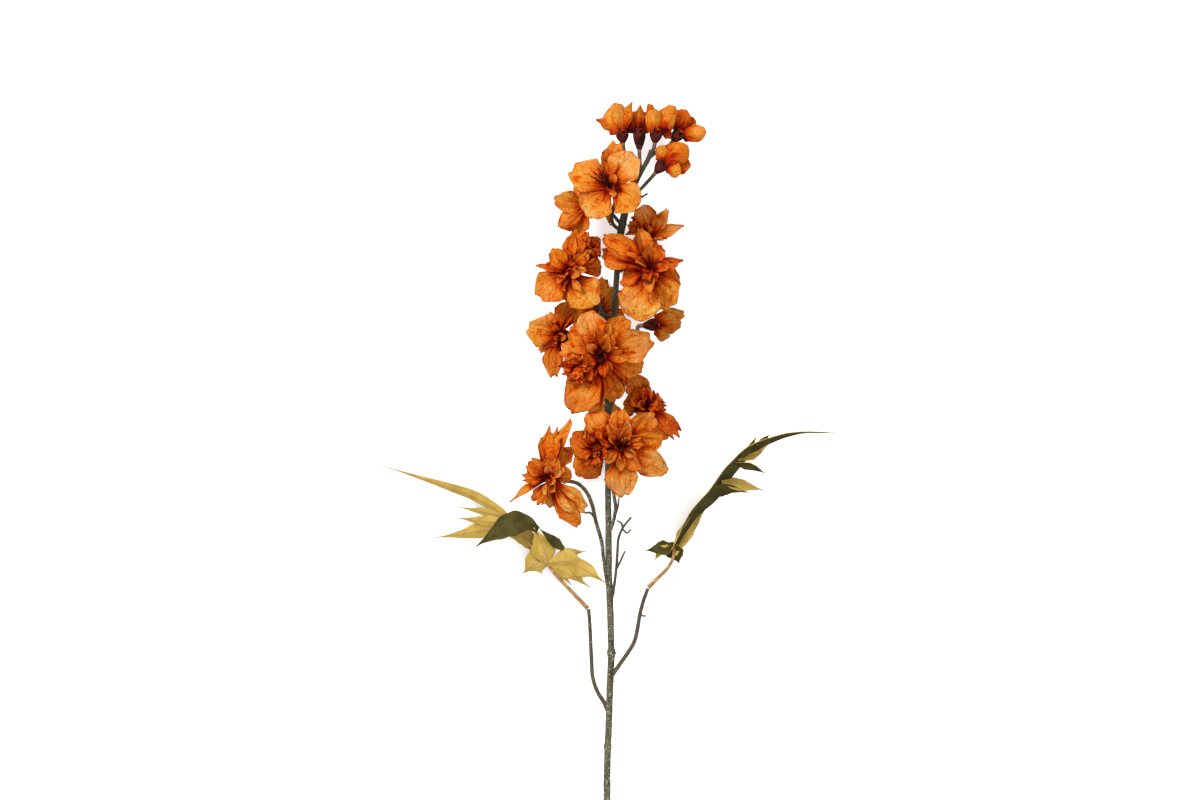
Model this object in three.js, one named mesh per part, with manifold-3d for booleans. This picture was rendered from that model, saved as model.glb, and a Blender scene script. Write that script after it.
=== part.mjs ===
// A cut stem of double delphinium, lying on a flat surface: ruffled orange florets in maroon calyces, set
// all round a green stem, over two deeply cut leaves. Millimetres. +Y runs from the cut end to the tip, +Z
// is up.
import * as THREE from "three";
import { mergeVertices } from "three/addons/utils/BufferGeometryUtils.js";
import Module from "manifold-3d";

const wasm = await Module();
wasm.setup();

// ---- Driving dimensions ----
const ORIGIN = [-0.01, 299.15, 0]; // middle of the footprint, measured from the cut end
const GAP = 0.3; // free space between pieces that touch
const PETAL_THICKNESS = 0.7;
const LEAF_THICKNESS = 0.9;
// The knob that a bloom's petals grow from: its radius, and more for each petal.
const HEART_RADIUS = [2.2, 0.22];
const HEART_HEIGHT = [1.5, 0.2]; // the same for its height
const HEART_TAPER = 0.3; // how much narrower the knob is at its top
const FOOT_DEPTH = 0.8; // a petal starts inside the knob, at this share of its radius and of its height
// The top petal leaves the heart this much steeper than the lowest, so they never cross.
const LAYER_RISE = 0.5;
const END_CURVE = 3; // the higher, the flatter a petal's end and the rounder its corners
const MIDRIB_PULL = 0.36; // how far along its midrib a petal keeps the direction of each end, as a share
const CALYX_RIM = 4.6;
const CALYX_FOOT = 1.7;
const CALYX_MIDDLE = 0.78; // half-way up, the calyx has this share of its rim's radius
const CALYX_CROWN = 0.42; // the share at its top, under the petals
const CALYX_NOTCH = 0.86; // the share between two teeth
const CALYX_SHOULDER = 2.5; // how far below the heart its rim lies
const CALYX_TOOTH = 1.4; // how far a tooth stands above the rim
const PEDICEL_RADIUS = 1.2;
const PEDICEL_FLARE = 1.25; // how much thicker the pedicel is at the calyx
const PEDICEL_STRAIGHT = 3; // its last stretch, in line with the bloom
const FILAMENT_RADIUS = 0.4;
const FILAMENT_RING = 0.95; // the filaments stand in a ring of this radius
const ANTHER_RADIUS = 0.85;
const ANTHER_LENGTH = 2.6;
const STEM_SIDES = 8;
const TWIG_SIDES = 4;
const HEART_SIDES = 6;
const CALYX_SIDES = 10;
const THREAD_SIDES = 3;
const FENCE_MARGIN = 0.55; // a petal's middle layer keeps this far from the plane between two blooms
const FENCE_RANGE = 85; // blooms further apart than this can't touch
const FENCE_NEAREST = 0.25; // a fence stands no nearer to either heart than this share of their distance
const FENCE_PASSES = 6; // how many times a point is moved from fence to fence until it is clear of all
const SOFT_EDGE = 1; // how gently a petal turns where it meets a fence
const FLOOR_EDGE = 0.6; // the same where it meets the surface that the stem lies on

const COLOURS = {
  stem: "#5f6045",
  leaf: "#4b5233",
  petal: "#d9761e",
  calyx: "#43171a",
  stamen: "#2a0c0c",
};

// The main stem from its cut end to the tip: each point with its radius. It rises from the surface, rides
// over the lower blooms, and has a knuckle wherever a leaf branch or a strong shoot leaves it.
const STEM = [
  [0, 0, 2.25, 2.42], [0, 60, 7, 2.4], [0, 110, 11, 2.5], [0.4, 143, 13.7, 2.4], [0.5, 146, 14, 2.9],
  [0.7, 149, 14.2, 2.4], [1.8, 180, 16.6, 2.4], [3, 209, 18.8, 2.4], [3.1, 212.5, 19.1, 3.3],
  [3, 216, 19.4, 2.3], [2.4, 239.5, 21.2, 2.4], [1.3, 271, 23.6, 2.3], [1.1, 299, 25.8, 2.2],
  [0.7, 334, 28.4, 2.1], [0.7, 369, 31, 2.1], [0.9, 388, 32.3, 2.8], [2.8, 425, 34, 2.1],
  [5.6, 460, 34.6, 2], [7.7, 488, 34.2, 2.1], [10.5, 512, 33.1, 2.8], [18.9, 539.1, 31.2, 1.9],
  [23.8, 549.6, 30.4, 1.8], [29.4, 560.1, 29.8, 1.7], [31, 565, 29.6, 1.5],
];

// Side shoots, leaf branches and bare twigs: a line of points, and the radius at the root and at the end.
const SHOOTS = [
  { points: [[0.7, 171, 15.9], [-1.9, 177, 15.8], [-6.7, 184.9, 15.4], [-9.8, 194, 15], [-10.9, 208, 14.6],
    [-11.6, 222, 14.4], [-12.3, 236, 14.3], [-13, 242.9, 14.3]], radii: [1.6, 1.3] },
  { points: [[3.2, 196, 17.8], [8.5, 203.6, 17.6], [14.8, 212.6, 17.4], [19, 219.6, 17.2], [21.4, 229, 17],
    [23.2, 239.5, 16.9], [26, 250, 16.8], [28.8, 257.6, 16.8]], radii: [1.6, 1.3] },
  { points: [[4.2, 254.2, 24], [6.3, 269.6, 27], [7.4, 285, 30], [8.1, 293.4, 32], [10.9, 300.4, 34],
    [16.8, 308.1, 36]], radii: [1.1, 0.8] },
  { points: [[2, 246, 22], [4.2, 254.2, 24]], radii: [1.4, 1.1] },
  { points: [[7, 272.4, 27.6], [9.8, 278, 29], [12.6, 284.3, 30]], radii: [0.9, 0.6] },
  { points: [[10.9, 300.4, 34], [9.8, 304.2, 35.4], [7, 305.7, 36]], radii: [0.8, 0.6] },
  { points: [[10.9, 299.7, 33.8], [14, 297.2, 34.6], [16.8, 299.7, 35.6]], radii: [0.8, 0.6] },
  { points: [[-8.4, 307, 26], [-11.9, 311, 27.4], [-15.4, 310.9, 29]], radii: [0.9, 0.6] },
  { points: [[5, 307.4, 30], [7.4, 314.4, 32.6], [8.4, 321.4, 34]], radii: [0.9, 0.6] },
  { points: [[9.8, 509, 33.2], [4.5, 512.5, 35.4], [1, 517, 36.6]], radii: [1, 0.7] },
  { points: [[16.1, 530, 31.8], [23.1, 531.4, 34], [28.3, 534.2, 36]], radii: [1, 0.7] },
  { points: [[23.2, 238.8, 16.9], [27.4, 238.1, 17.6]], radii: [0.9, 0.6] },
];

// ---- Petal and lobe forms ----
// claw, tip: width at the foot and at the end as a share of the widest; belly: where along it the widest
// is; round: how far the end curves back at its corners; cup: how far the sides roll up, in radians at the
// edge; rise: how steeply it leaves the heart; curl: how far its end bends back; ruffle: height of the
// waves, mm; ragged: depth of the torn edge as a share of the length; roll: twist, in radians.
const FORMS = {
  wide: { claw: 0.25, belly: 0.6, tip: 0.85, round: 0.3, cup: 0.34, rise: 0.5, curl: 0.35, ruffle: 1,
    ragged: 0.02, roll: 0.2, rows: 2, columns: 2 },
  large: { claw: 0.25, belly: 0.62, tip: 0.85, round: 0.4, cup: 0.34, rise: 0.5, curl: 0.35, ruffle: 1,
    ragged: 0.02, roll: 0.18, rows: 3, columns: 3 },
  narrow: { claw: 0.3, belly: 0.5, tip: 0.2, round: 0.1, cup: 0.8, rise: 0.4, curl: 0.35, ruffle: 0.5,
    ragged: 0, roll: 0.3, rows: 2, columns: 2 },
  folded: { claw: 0.2, belly: 0.55, tip: 0.55, round: 0.3, cup: 1.15, rise: 0.5, curl: 0.1, ruffle: 0.8,
    ragged: 0.03, roll: 0.5, rows: 2, columns: 2 },
  inner: { claw: 0.2, belly: 0.6, tip: 0.6, round: 0.25, cup: 0.9, rise: 0.5, curl: -0.1, ruffle: 0.6,
    ragged: 0.03, roll: 0.35, rows: 2, columns: 2 },
  torn: { claw: 0.16, belly: 0.6, tip: 0.85, round: 0.2, cup: 0.5, rise: 0.5, curl: 0.3, ruffle: 1.9,
    ragged: 0.06, roll: 0.3, rows: 3, columns: 3 },
  hood: { claw: 0.65, belly: 0.6, tip: 0.75, round: 0.32, cup: 0.95, rise: 0.15, curl: -0.45, ruffle: 0.5,
    ragged: 0.01, roll: 0.3, rows: 2, columns: 2 },
};

// ---- Blooms ----
// heart: where the petals meet; axis: the way the bloom faces; calyx: its length; from: the height on the
// stem that its pedicel leaves; via: points that the pedicel passes; stamens: how many; lean: the way they
// bend. A petal is its tip, measured from the heart, then its width, its form and, where it isn't 0, how far
// it is turned about its midrib, in degrees.
const BLOOMS = [
  { name: "01", heart: [10.5, 577.5, 30], axis: [-0.1, 1, 0.1], calyx: 7.5, from: 539,
      via: [[15.4, 551, 31]],
    petals: [[-4, 20.2, 4, 21, "hood", 46], [-18.2, 8.6, 2, 10, "narrow", 72],
      [7.8, 21, 3, 12, "narrow", -95], [1, 16, -6, 18, "hood"]] },
  { name: "02", heart: [22.7, 578.6, 24.5], axis: [0, 1, 0], calyx: 13, from: 545, via: [[23.1, 554.5, 27.5]],
    petals: [[0.5, 17.9, 3, 10, "narrow", -26], [-3.6, 14, -2, 14, "hood", 95],
      [3.4, 13.5, -2, 14, "hood", -125]] },
  { name: "03", heart: [34.6, 577.9, 33.5], axis: [0.15, 1, 0.1], calyx: 8, from: 560, via: [],
    petals: [[-5, 19.3, 0, 12, "hood", 88], [12, 17.8, 4, 19, "hood", -98], [-1.5, 15.4, 6, 15, "hood", 23],
      [4, 14, -6, 16, "hood"], [11, -5, -5, 9, "narrow", 60]] },
  { name: "04", heart: [51.1, 577.6, 26.5], axis: [0.6, 0.75, 0.15], calyx: 8, from: 559,
      via: [[38, 566, 30]],
    petals: [[4.5, 15.4, 3, 17, "hood", 75], [18, 1.8, 3, 15, "hood", -112], [10, 10.5, -4, 14, "hood"],
      [-3.5, 11, -1, 8, "narrow", 80]] },
  { name: "05", heart: [39.9, 555.9, 33], axis: [0.62, 0.72, 0.1], calyx: 9, from: 531,
      via: [[24.5, 538.5, 33]],
    petals: [[15.2, 14, 6, 22, "hood", -50], [11.9, -5.7, 6, 13, "hood", -100], [18, 1, -4, 18, "hood", 50],
      [-1, 13, 4, 11, "hood", 50]] },
  { name: "06", heart: [2.8, 537.7, 52], axis: [-0.3, 0.22, 0.93], calyx: 9, from: 508, via: [[4, 513, 38]],
    stamens: 7, lean: [-0.35, 0.55, 0], spread: 13,
    petals: [[-27.5, 12.5, -2, 28, "large"], [-16, -20.5, 4, 27, "large", -20],
      [19, -13.5, 8, 26, "large"], [17, 22.5, 4, 27, "large"], [-1.4, 26, 3, 14, "inner"],
      [4, 31.8, -7, 17, "wide"], [2.5, -7, 6, 7, "inner"], [-1, -28, -16, 7, "narrow"]] },
  { name: "07", heart: [-11.9, 525.8, 31], axis: [-0.9, -0.1, 0.25], calyx: 8, from: 512,
      via: [[4, 520, 30]],
    petals: [[-25, 5, 3, 17, "large", 50], [-22, -18.5, 5, 19, "folded", 70],
      [-10, -18.2, -7, 20, "wide", -50], [-12, 12, -8, 15, "wide", 30]] },
  { name: "08", heart: [29.4, 502, 33], axis: [0.5, 0.7, 0.35], calyx: 8, from: 490,
      via: [[14, 495.5, 32]],
    petals: [[-7.5, 24, 4, 18, "wide", 100], [12.8, 21, 6, 13, "folded", -50],
      [24.5, 9.8, 4, 10, "narrow", 45], [13.5, 6, -11, 11, "wide"], [-14, 12, -7, 20, "wide", -30]] },
  { name: "09", heart: [28.7, 479.6, 50], axis: [0.2, 0.5, 0.8], calyx: 9, from: 462, via: [[14, 468, 38]],
    stamens: 4, lean: [0, 0, 0], spread: 8,
    petals: [[-34, 25.2, 1, 20, "folded", -50], [-36, 11, -3, 20, "wide", -30],
      [4, 20, 6, 21, "folded", -25], [24.5, 7.4, 2, 9, "narrow"], [19, 2.8, 8, 12, "folded"],
      [-10, -34.5, 1, 33, "large"], [14.5, -26, 0, 26, "large"], [22, -9, -4, 15, "wide"],
      [-7, 8, 9, 11, "inner"], [4, -8, 10, 13, "inner"], [-6, 33, 2, 13, "folded", -40],
      [-19, -9, 0, 14, "wide"]] },
  { name: "10", heart: [-24.5, 478.2, 46], axis: [-0.5, 0.2, 0.84], calyx: 9, from: 440,
    via: [[-4.3, 453, 32], [-7, 466, 33]],
    petals: [[-13.5, 16.8, 5, 14, "wide"], [-25.2, 5.6, 0, 8, "narrow"],
      [-22.6, -17.5, -3, 26, "large", -35], [17.5, -23, 7, 29, "large", -28], [13, 16, 11, 11, "folded"],
      [1, 28, -2, 11, "wide"], [10, 31, -2, 14, "torn"], [-7, -3, 10, 10, "inner"],
      [24, 27, -8, 17, "wide"], [22, 5, -9, 20, "folded"], [-6, -19, -7, 16, "wide", -45]] },
  { name: "11", heart: [35.2, 443, 25], axis: [0.95, 0.08, 0.05], calyx: 10, from: 378,
    via: [[4.9, 390, 32], [11.2, 399.1, 30], [18.2, 418, 25.5], [22, 434, 24]],
    petals: [[19, 7.4, 4, 14, "hood", 60], [9, -7.6, 5, 14, "hood", -100], [17, 1, -10, 15, "hood"]] },
  { name: "12", heart: [-31.5, 434.8, 27], axis: [-0.75, 0, 0.6], calyx: 8, from: 421, via: [[-7, 429, 25]],
    petals: [[-24, 6.3, 2, 23, "large"], [12.6, 22, 7, 10, "folded", 30], [-6, -28.5, 0, 15, "wide", -50],
      [6, 25, -2, 15, "wide", 12], [-16, -8, -14, 15, "wide"], [-11, 15, -13, 16, "wide"]] },
  { name: "13", heart: [-4.2, 420.1, 55], axis: [-0.03, 0.06, 1], calyx: 10, from: 404,
      via: [[-1.5, 413, 38]],
    stamens: 7, lean: [0, -0.1, 0], spread: 9,
    petals: [[35.7, 11.2, -6, 26, "large"], [29, -8, -9, 20, "wide"], [18, 28, -4, 19, "wide"],
      [-10, 32, -2, 23, "large"], [-27.5, 6.3, -1, 22, "wide"], [-26, -11, 2, 20, "torn"],
      [-19.5, -40.5, -8, 28, "large"], [-1, -34.5, -4, 17, "folded"], [14, -26, -10, 17, "wide"],
      [-2.5, 19, 8, 12, "inner"], [14.5, 4, 9, 12, "inner"], [7, -12, 10, 11, "inner"],
      [-13, 11, 9, 12, "inner"], [8, 16, 11, 11, "inner"], [-12, -5, 10, 12, "inner"]] },
  { name: "14", heart: [24.5, 384.4, 28], axis: [0.6, 0.1, 0.7], calyx: 8, from: 371,
      via: [[8, 377, 27.5]],
    petals: [[-8, 23, 3, 18, "wide", -55], [-0.5, 15, 8, 16, "torn", -75], [12.5, 5.5, 9, 16, "torn", -85],
      [25, -19, 0, 14, "torn", 10], [17, -22, -2, 14, "wide", 24], [14.5, 4, -14, 16, "wide"],
      [12, -16, -12, 16, "wide"], [-13, 2, 2, 17, "wide", -30]] },
  { name: "15", heart: [8.4, 357.8, 53], axis: [0.08, -0.04, 1], calyx: 10, from: 296,
    via: [[4.6, 305.3, 29], [5.9, 315.1, 32], [4.4, 327, 35], [5, 342, 38.5]],
    stamens: 7, lean: [0.05, 0.15, 0], spread: 9,
    petals: [[-22, 24, -3, 20, "wide"], [0.5, 26, 3, 17, "wide"], [25, 21.5, -4, 21, "wide"],
      [31, 6, -1, 17, "wide"], [33, -18, -3, 21, "large"], [2, -35, -4, 24, "large"],
      [15, -16.5, 6, 14, "folded"], [-24.5, -1, -3, 19, "torn"], [14, 7, 8, 12, "inner"],
      [-14, 7, 8, 12, "torn"],
      [-4, 13, 9, 11, "inner"], [-6, -11, 10, 12, "inner"], [6, 14, 11, 10, "inner"]] },
  { name: "16", heart: [-38.5, 335.4, 37], axis: [-0.55, 0.15, 0.8], calyx: 9, from: 250,
    via: [[-2.4, 278, 26], [-3.5, 289.2, 26], [-7.7, 304.6, 26], [-10.9, 317.9, 26], [-14.7, 326, 26.4],
      [-20.5, 331.5, 27]],
    stamens: 4, lean: [-0.1, 0.2, 0], spread: 8,
    petals: [[14, 41, 4, 10, "wide"], [1.5, 33.5, 5, 17, "torn"], [-15.5, 12, 6, 14, "torn"],
      [-19.5, 0.5, 4, 14, "torn"], [-29.5, -17, -7, 8, "narrow"], [-9.5, -18, 0, 12, "torn", -30],
      [19, -33, -5, 15, "wide", -25], [23, -22.5, 0, 19, "wide", -15], [13, 21, -6, 17, "wide"],
      [1, -20.5, -8, 15, "wide", -40], [14, 3, 3, 13, "wide"],
      [4, 14, 10, 15, "inner"], [2, -9, 10, 11, "inner"]] },
  { name: "17", heart: [-6, 451, 15.5], axis: [-0.15, 0.05, -1], calyx: 7, from: 447, via: [],
    petals: [[-22, 8, -14, 21, "wide"], [4, 25, -11.5, 16, "wide"], [15, 16, -13, 20, "wide"],
      [18, -11, -14.7, 22, "wide"], [-14, -20, -12.5, 24, "wide"]] },
  { name: "18", heart: [27, 488, 15.5], axis: [0.15, 0.1, -1], calyx: 7, from: 479, via: [[17, 484, 27]],
    petals: [[-18, 8, -14, 19, "wide"], [-2, 22, -12, 19, "wide"], [13, 9, -13.5, 16, "wide"],
      [17, -14, -14.7, 20, "wide"], [-9, -17, -12.5, 20, "wide"]] },
  { name: "19", heart: [-2, 353, 15.5], axis: [-0.2, 0, -1], calyx: 7, from: 349, via: [],
    petals: [[-23, 12, -12.5, 24, "wide"], [-8, 24, -14.7, 21, "wide"], [17, 14, -12.5, 20, "wide"],
      [19, -10, -14.5, 20, "wide"], [-20, -15, -13, 24, "wide"]] },
];

// ---- Leaves ----
const PETIOLE_RADII = [1.7, 0.7]; // at its root and at its end, in the blade
// A leaf is a petiole and the lobes that fan out from it. A lobe follows its points from root to tip; width
// is its widest, tilt turns its face from flat (0) to on edge (90) and on to face down (180), in degrees.
const LEAVES = [
  {
    name: "leaf_left",
    petiole: [[-13.5, 243.5, 14.3], [-18.4, 248.4, 14.8], [-25.2, 255.6, 15.6], [-34.5, 265.5, 17],
      [-41, 273.3, 18], [-50.4, 284.3, 18.2], [-57.4, 292.5, 17.6], [-68.6, 308.8, 16]],
    lobes: [
      { points: [[-57.4, 293, 17.6], [-76.3, 312.5, 14.5], [-95.9, 323.4, 12], [-116.9, 330.6, 9],
        [-160.3, 344.2, 0.5]], width: 8, tilt: 150, teeth: 0 },
      { points: [[-60, 297, 17], [-81.9, 299.6, 9], [-99.4, 296, 4], [-121, 292.8, -1]], width: 13,
        tilt: 170, teeth: 0 },
      { points: [[-64, 304, 16], [-86, 304.6, 10], [-107, 307, 4]], width: 9, tilt: 170, teeth: 0 },
      { points: [[-67, 307.5, 16], [-84.7, 311, 11], [-105.4, 314.6, 6]], width: 7, tilt: 165, teeth: 0 },
      { points: [[-41, 275, 18], [-46, 288.5, 20.4], [-51.5, 300.5, 22.4]], width: 18, tilt: 185, teeth: 0 },
      { points: [[-48.3, 298.6, 21.9], [-56, 303, 22.6], [-66.5, 302.6, 22], [-79, 295.8, 19],
        [-92.5, 286.8, 15]], width: 19, tilt: 25, teeth: 0 },
      { points: [[-29, 284.5, 19.2], [-36, 289.6, 21], [-48, 300.5, 22.6]], width: 8, tilt: 20, teeth: 0 },
      { points: [[-41, 275.5, 18], [-27.3, 277.2, 19.6], [-14, 270.2, 21.4], [-0.6, 261.6, 27]],
        width: 15, tilt: 188, teeth: 2 },
      { points: [[-37, 277.5, 18.4], [-26, 282.5, 19.4], [-14.5, 283.6, 20]], width: 9, tilt: 190, teeth: 0 },
      { points: [[-39, 273, 17.6], [-31.5, 267, 16.8], [-25, 259.6, 15.6]], width: 6, tilt: 180, teeth: 0 },
      { points: [[-47, 287, 17.6], [-58, 293.5, 15.4], [-76, 297, 10]], width: 12, tilt: 174, teeth: 0 },
      { points: [[-39, 273.5, 17.6], [-23, 266.1, 18], [-11.9, 258.4, 17]], width: 10, tilt: 188, teeth: 1 },
      { points: [[-41, 276, 18], [-48.5, 276, 15], [-59, 268, 4]], width: 18, tilt: 176, teeth: 0 },
      { points: [[-44, 281, 18], [-50.5, 285, 15], [-58, 286.4, 9]], width: 7, tilt: 175, teeth: 0 },
    ],
  },
  {
    name: "leaf_right",
    petiole: [[29, 258.2, 16.8], [35, 264.2, 17], [41.7, 270.9, 17], [46.2, 278, 17], [47.4, 288, 17],
      [58.5, 308.5, 15.6]],
    lobes: [
      { points: [[46.2, 284, 17], [60, 309, 15.6], [75.6, 326.2, 15], [86.6, 341.6, 14],
        [100.4, 355, 13], [115.5, 362.2, 11], [135.1, 366.9, 7], [160.3, 366.9, 2.5]], width: 19,
        tilt: 62, teeth: 0 },
      { points: [[47.6, 281, 16.8], [55.2, 296.5, 11], [64.4, 309, 8], [74.2, 320, 6]], width: 11, tilt: 160,
        teeth: 0 },
      { points: [[71, 324, 15], [86.1, 327.4, 11], [99.4, 324.9, 6]], width: 10, tilt: 30, teeth: 0 },
      { points: [[80.5, 332.4, 14], [96.6, 330, 6], [111.3, 326, -1]], width: 10, tilt: 150, teeth: 0 },
      { points: [[90, 345.4, 13.6], [101.5, 343, 11], [112, 338.2, 5]], width: 7, tilt: 40, teeth: 0 },
      { points: [[92, 348, 13], [103.6, 352.9, 8], [116.2, 360.3, 4]], width: 9, tilt: 150, teeth: 0 },
      { points: [[95, 349, 13.5], [100.5, 356.5, 13.6], [105.6, 365, 12.6]], width: 6, tilt: 40, teeth: 0 },
      { points: [[106, 357.5, 12], [110.5, 362, 12], [114.8, 366, 11]], width: 6, tilt: 40, teeth: 0 },
      { points: [[47, 287.5, 17], [37.1, 285.6, 19], [26.8, 284.2, 18]], width: 11, tilt: 20, teeth: 0 },
      { points: [[43, 288, 17.8], [37.8, 283.6, 17], [33.6, 277.3, 13]], width: 7, tilt: 160, teeth: 0 },
      { points: [[44.5, 290, 17], [47.4, 283, 15], [51, 275, 7]], width: 14, tilt: 20, teeth: 0 },
    ],
  },
];

// ---- Small helpers ----
const vec = (a) => new THREE.Vector3(...a);
const smooth = (x) => {
  const t = Math.min(Math.max(x, 0), 1);
  return t * t * (3 - 2 * t);
};
// A number from 0 to 1 that is always the same for the same seed.
const draw = (seed) => {
  const s = Math.sin(seed * 12.9898) * 43758.5453;
  return s - Math.floor(s);
};

// Two unit vectors square to a direction.
function squareTo(direction) {
  const first = Math.abs(direction.z) < 0.9 ? new THREE.Vector3(0, 0, 1) : new THREE.Vector3(0, 1, 0);
  first.cross(direction).normalize();
  return [first, direction.clone().cross(first).normalize()];
}

function solidFrom(positions, triangles) {
  const geometry = new THREE.BufferGeometry();
  geometry.setAttribute("position", new THREE.Float32BufferAttribute(positions, 3));
  geometry.setIndex(triangles);
  const merged = mergeVertices(geometry, 1e-4);
  return new wasm.Manifold(
    new wasm.Mesh({
      numProp: 3,
      vertProperties: merged.attributes.position.array,
      triVerts: new Uint32Array(merged.index.array),
    }),
  );
}

function meshFrom(solid, name, colour) {
  const made = solid.getMesh();
  const geometry = new THREE.BufferGeometry();
  geometry.setAttribute("position", new THREE.BufferAttribute(made.vertProperties, 3));
  geometry.setIndex(new THREE.BufferAttribute(made.triVerts, 1));
  geometry.computeVertexNormals();
  const material = new THREE.MeshStandardMaterial({ color: colour, roughness: 0.75, metalness: 0 });
  const mesh = new THREE.Mesh(geometry, material);
  mesh.name = name;
  return mesh;
}

// Solids fused into one body. Tiny hollows that the fusing seals in are filled, and loose scraps are
// dropped.
function join(solids) {
  const bodies = solids.reduce((all, next) => all.add(next)).decompose();
  return bodies.reduce((best, body) => (body.volume() > best.volume() ? body : best));
}

// Closed rings of points, joined one to the next, with a fan at each end.
function loft(rings) {
  const sides = rings[0].length;
  const positions = [];
  rings.forEach((ring) => ring.forEach((p) => positions.push(p.x, p.y, p.z)));
  const triangles = [];
  for (let r = 0; r + 1 < rings.length; r++) {
    for (let i = 0; i < sides; i++) {
      const a = r * sides + i;
      const b = r * sides + ((i + 1) % sides);
      triangles.push(a, b, b + sides, a, b + sides, a + sides);
    }
  }
  const last = (rings.length - 1) * sides;
  for (let i = 1; i + 1 < sides; i++) {
    triangles.push(0, i + 1, i);
    triangles.push(last, last + i, last + i + 1);
  }
  return solidFrom(positions, triangles);
}

// A round rod along a smooth line through points [x, y, z, radius].
function rod(points, sides) {
  const curve = new THREE.CatmullRomCurve3(points.map(([x, y, z]) => new THREE.Vector3(x, y, z)));
  let [across] = squareTo(curve.getTangent(0));
  const rings = points.map(([x, y, z, radius], k) => {
    const centre = new THREE.Vector3(x, y, z);
    const tangent = curve.getTangent(k / (points.length - 1));
    across = across.clone().addScaledVector(tangent, -tangent.dot(across)).normalize();
    const up = tangent.clone().cross(across);
    return Array.from({ length: sides }, (_, i) => {
      const angle = (2 * Math.PI * (i + 0.5)) / sides;
      return centre
        .clone()
        .addScaledVector(across, radius * Math.cos(angle))
        .addScaledVector(up, radius * Math.sin(angle));
    });
  });
  return loft(rings);
}

// The same points with radii spread evenly from the first to the last.
const taper = (points, root, end) =>
  points.map((point, k) => [...point, THREE.MathUtils.lerp(root, end, k / (points.length - 1))]);

// A thin closed sheet over a surface: surface(t, u) gives its middle layer for t from -1 to 1 and u from 0
// to 1. Both faces are split into triangles alike, so they never cross.
function sheet(surface, rows, columns, thickness) {
  const grid = [];
  for (let r = 0; r <= rows; r++) {
    const line = [];
    for (let c = 0; c <= columns; c++) line.push(surface((2 * c) / columns - 1, r / rows));
    grid.push(line);
  }
  const at = (r, c) => grid[Math.min(Math.max(r, 0), rows)][Math.min(Math.max(c, 0), columns)];
  const faces = [[], []];
  for (let r = 0; r <= rows; r++) {
    for (let c = 0; c <= columns; c++) {
      const along = at(r + 1, c).clone().sub(at(r - 1, c));
      const across = at(r, c + 1).clone().sub(at(r, c - 1));
      const out = across.cross(along).normalize().multiplyScalar(thickness / 2);
      faces[0].push(grid[r][c].clone().add(out));
      faces[1].push(grid[r][c].clone().sub(out));
    }
  }
  const positions = [];
  faces.flat().forEach((p) => positions.push(p.x, p.y, p.z));
  const width = columns + 1;
  const under = (rows + 1) * width;
  const triangles = [];
  for (let r = 0; r < rows; r++) {
    for (let c = 0; c < columns; c++) {
      const a = r * width + c;
      const [b, d, e] = [a + 1, a + width, a + width + 1];
      triangles.push(a, b, e, a, e, d);
      triangles.push(a + under, e + under, b + under, a + under, d + under, e + under);
    }
  }
  const rim = [];
  for (let c = 0; c < columns; c++) rim.push(c);
  for (let r = 0; r < rows; r++) rim.push(r * width + columns);
  for (let c = columns; c > 0; c--) rim.push(rows * width + c);
  for (let r = rows; r > 0; r--) rim.push(r * width);
  rim.forEach((a, k) => {
    const b = rim[(k + 1) % rim.length];
    triangles.push(a, a + under, b + under, a, b + under, b);
  });
  return solidFrom(positions, triangles);
}

// ---- Fences: planes that keep a bloom clear of the surface, the stem and its neighbours ----
const axisOf = (bloom) => vec(bloom.axis).normalize();
const calyxFoot = (bloom) => vec(bloom.heart).addScaledVector(axisOf(bloom), -bloom.calyx);

// How far a bloom reaches from its heart in a direction, its calyx counted too.
function reach(bloom, direction) {
  const tips = bloom.petals.map(([x, y, z]) => new THREE.Vector3(x, y, z).dot(direction));
  const foot = calyxFoot(bloom).sub(vec(bloom.heart)).dot(direction) + CALYX_FOOT;
  return Math.max(CALYX_RIM, foot, ...tips);
}

function stemAt(height) {
  const next = STEM.findIndex((point) => point[1] >= height);
  const [a, b] = STEM.slice(next - 1, next + 1).map(([x, y, z]) => new THREE.Vector3(x, y, z));
  return a.lerp(b, (height - a.y) / (b.y - a.y));
}

function fencesOf(bloom) {
  const heart = vec(bloom.heart);
  const up = new THREE.Vector3(0, 0, 1);
  const fences = [{ normal: up, offset: PETAL_THICKNESS / 2, edge: FLOOR_EDGE }];
  const stem = stemAt(Math.min(heart.y, STEM.at(-1)[1]));
  const aside = heart.clone().sub(stem).setY(0);
  if (aside.length() > 2 * CALYX_RIM) {
    aside.normalize();
    fences.push({ normal: aside, offset: stem.dot(aside) + STEM[0][3] + FENCE_MARGIN, edge: SOFT_EDGE });
  }
  for (const other of BLOOMS) {
    const toward = vec(other.heart).sub(heart);
    const apart = toward.length();
    if (other === bloom || apart > FENCE_RANGE) continue;
    toward.normalize();
    const away = toward.clone().negate();
    const half = (reach(bloom, toward) + apart - reach(other, away)) / 2;
    const stand = THREE.MathUtils.clamp(half, FENCE_NEAREST * apart, (1 - FENCE_NEAREST) * apart);
    fences.push({ normal: away, offset: heart.dot(away) - stand + FENCE_MARGIN, edge: SOFT_EDGE });
  }
  return fences;
}

// Moves a point to the free side of every fence: gently where it is near, and then exactly.
function keepClear(point, fences) {
  for (const { normal, offset, edge } of fences) {
    const depth = point.dot(normal) - offset;
    if (depth > 4 * edge) continue;
    const free = edge * Math.log1p(Math.exp(depth / edge));
    point.addScaledVector(normal, free - depth);
  }
  for (let pass = 0; pass < FENCE_PASSES; pass++) {
    for (const { normal, offset } of fences) {
      point.addScaledVector(normal, Math.max(0, offset - point.dot(normal)));
    }
  }
  return point;
}

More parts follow.
